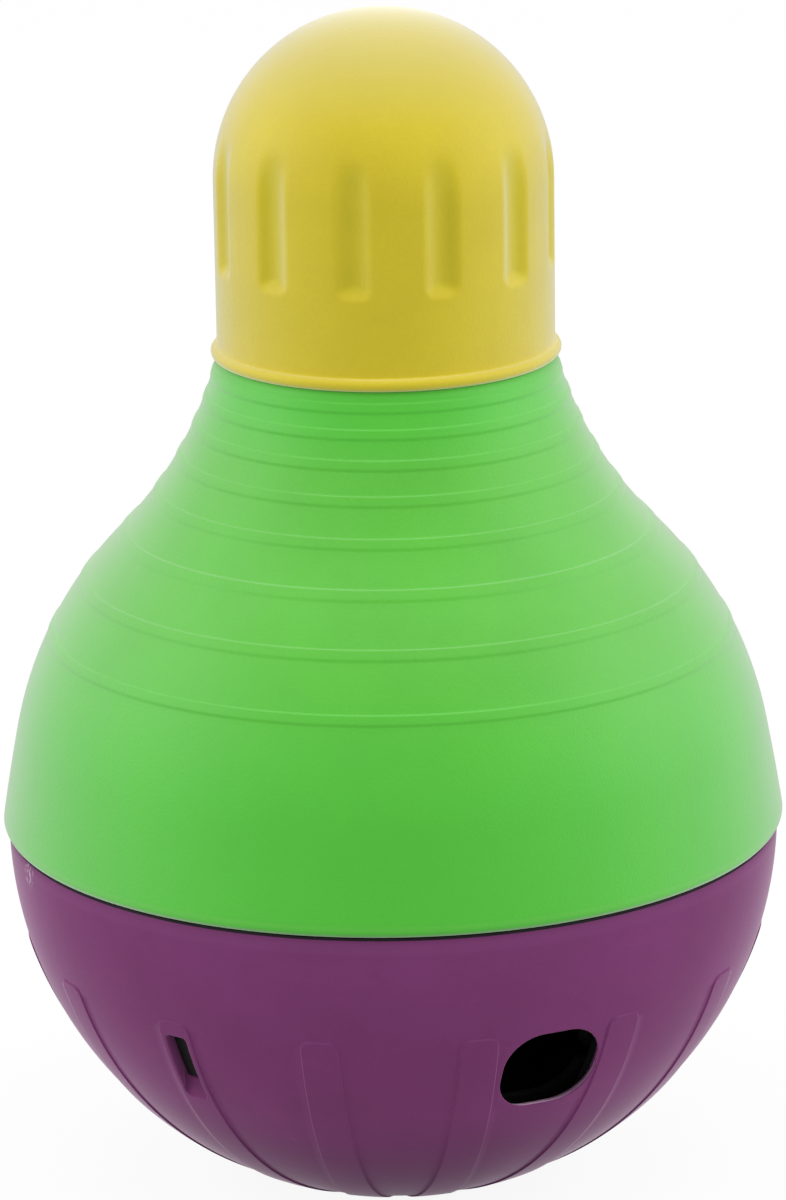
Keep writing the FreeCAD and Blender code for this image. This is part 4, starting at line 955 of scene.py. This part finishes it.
relief(shader, grain["Grain"], 0.00003, 0.6)
print("bowl_purple done")

# %% [markdown]
# Inside, the liner, the deck and the ballast's lid are the plain dark grey that hides old crumbs. They
# have the same moulded grain and fine dust. The sliding shutter and its thumb piece are the same
# plastic, a little paler and more scuffed.

# %% Finishes of the dark plastics
def dark_plastic(name, dark, pale, share):
    """A finish between two nearly black greys, with a share of scuffs."""
    shader, here = finish(name, Specular_IOR_Level=0.3)
    grain = effect(moulded, here, Grains_per_metre=1400.0, Clouds_per_metre=50.0)
    marks = effect(scuffed, here, Lines_per_metre=500.0, Line_width=0.1, Share=share)[0]
    dust = effect(dusty, here, Amount=0.15)[0]
    shade = mix(grain["Clouds"], dark, pale)
    shade = tint(shade, marks, 0.25, (0.08, 0.08, 0.08))
    feed(shader, Base_Color=mix(dust, shade, (0.16, 0.145, 0.12)),
         Roughness=spread(grain["Grain"], 0.0, 1.0, 0.45, 0.65))
    relief(shader, grain["Grain"], 0.00004, 0.6)


dark_plastic("liner_dark", (0.0045, 0.0048, 0.0045), (0.0075, 0.0078, 0.0075), 0.3)
dark_plastic("shutter_plastic", (0.008, 0.008, 0.008), (0.014, 0.014, 0.014), 0.7)
print("dark plastics done")

# %% [markdown]
# The gate is moulded in nearly the cap's yellow, so that it stands out inside, but in hard plastic,
# with finer grain and a bit of shine.

# %% Finish of the yellow hard plastic
shader, here = finish("gate_plastic", Specular_IOR_Level=0.5)
grain = effect(moulded, here, Grains_per_metre=1900.0, Clouds_per_metre=55.0)
marks = effect(scuffed, here, Lines_per_metre=600.0, Line_width=0.1, Share=0.5)[0]
dust = effect(dusty, here, Amount=0.2)[0]
shade = mix(grain["Clouds"], (0.52, 0.42, 0.02), (0.60, 0.49, 0.03))
shade = tint(shade, marks, 0.35, (0.42, 0.34, 0.06))
rough = spread(grain["Grain"], 0.0, 1.0, 0.32, 0.44)
feed(shader, Base_Color=mix(dust, shade, (0.5, 0.45, 0.3)),
     Roughness=calc("ADD", rough, times(marks, 0.2)))
relief(shader, grain["Grain"], 0.00002, 0.5)
print("gate_plastic done")

# %% [markdown]
# The seam seal and the ballast's flat seal are black rubber: nearly as dark as the liner, with a dry
# bloom and crumbs pressed in. On the seam seal's lip this black is painted shade of the gap.

# %% Finish of the black rubber
shader, here = finish("seal_black", Specular_IOR_Level=0.25)
grain = effect(moulded, here, Grains_per_metre=1100.0, Clouds_per_metre=90.0)
crumbs = effect(specked, here, Specks_per_metre=260.0, Size=0.15, Share=0.08)[0]
shade = mix(grain["Clouds"], (0.004, 0.004, 0.004), (0.011, 0.011, 0.010))
feed(shader, Base_Color=tint(shade, crumbs, 0.5, (0.09, 0.07, 0.045)),
     Roughness=spread(grain["Grain"], 0.0, 1.0, 0.6, 0.8))
relief(shader, grain["Grain"], 0.00005, 0.6)
print("seal_black done")

# %% [markdown]
# The pad over the ballast is closed-cell foam. Its cut faces show round cells of about two thirds of a
# millimetre, which are the middles of Voronoi cells let in. Their middles are also painted darker, as
# painted shade in the cells.

# %% Finish of the foam
shader, here = finish("pad_foam", Specular_IOR_Level=0.2, Sheen_Weight=0.2)
grain = effect(moulded, here, Grains_per_metre=900.0, Clouds_per_metre=70.0)
pores = add("TexVoronoi", Vector=here, Scale=1500.0).outputs["Distance"]
shade = mix(grain["Clouds"], (0.035, 0.035, 0.037), (0.055, 0.055, 0.058))
# Painted shade: the middles of the foam cells are mixed darker.
shade = mix(spread(pores, 0.0, 0.6), (0.02, 0.02, 0.021), shade)
feed(shader, Base_Color=shade, Roughness=spread(pores, 0.0, 0.7, 0.75, 0.95))
relief(shader, pores, 0.0002, 0.8)
print("pad_foam done")

# %% [markdown]
# The ballast is a rough grey iron casting: sand grain all over, darker in its hollows, with a breath of
# rust in patches. Rust is no metal, so it takes the metallic value down where it lies.

# %% Finish of the cast iron
shader, here = finish("ballast_iron")
grain = effect(moulded, here, Grains_per_metre=700.0, Clouds_per_metre=60.0)
rust = spread(noise(here, 85.0, 5.0, 0.7), 0.56, 0.66)
shade = mix(grain["Grain"], (0.045, 0.045, 0.048), (0.13, 0.13, 0.135))
rough = calc("ADD", grain["Clouds"], rust)
feed(shader, Base_Color=tint(shade, rust, 0.75, (0.14, 0.055, 0.022)),
     Metallic=spread(rust, 0.0, 1.0, 0.75, 0.1),
     Roughness=spread(rough, 0.0, 2.0, 0.5, 0.85))
relief(shader, grain["Grain"], 0.00025, 0.8)
print("ballast_iron done")

# %% [markdown]
# Screws, bolt, washer and nut are zinc-plated steel: bright, slightly blue, with a cloudy passivation
# and fine wear lines from the driver and the spanner.

# %% Finish of the plated steel
shader, here = finish("screw_steel", Metallic=1.0)
grain = effect(moulded, here, Grains_per_metre=2600.0, Clouds_per_metre=320.0)
marks = effect(scuffed, here, Lines_per_metre=2500.0, Line_width=0.12, Share=0.6)[0]
shade = mix(grain["Clouds"], (0.52, 0.54, 0.58), (0.66, 0.66, 0.64))
rough = spread(grain["Grain"], 0.0, 1.0, 0.26, 0.38)
feed(shader, Base_Color=tint(shade, marks, 0.4, (0.32, 0.32, 0.33)),
     Roughness=calc("ADD", rough, times(marks, 0.25)))
relief(shader, grain["Grain"], 0.00001, 0.4)
print("screw_steel done")

# %% [markdown]
# The pieces drawn here get their finishes directly. The CAD pieces that stay, all of them inside, get
# theirs by the slot that the record gives each.

# %% Dress every piece
for piece, slot in ((shell, "shell_green"), (cap, "cap_rubber"), (bowl, "bowl_purple"),
                    (seal_ring, "seal_black")):
    piece.data.materials.append(finish_of[slot])
for row in frame["record"]["subparts"]:
    for place in frame["nodes"][row["node"]].material_slots:
        place.material = finish_of[row["material_slot"]]
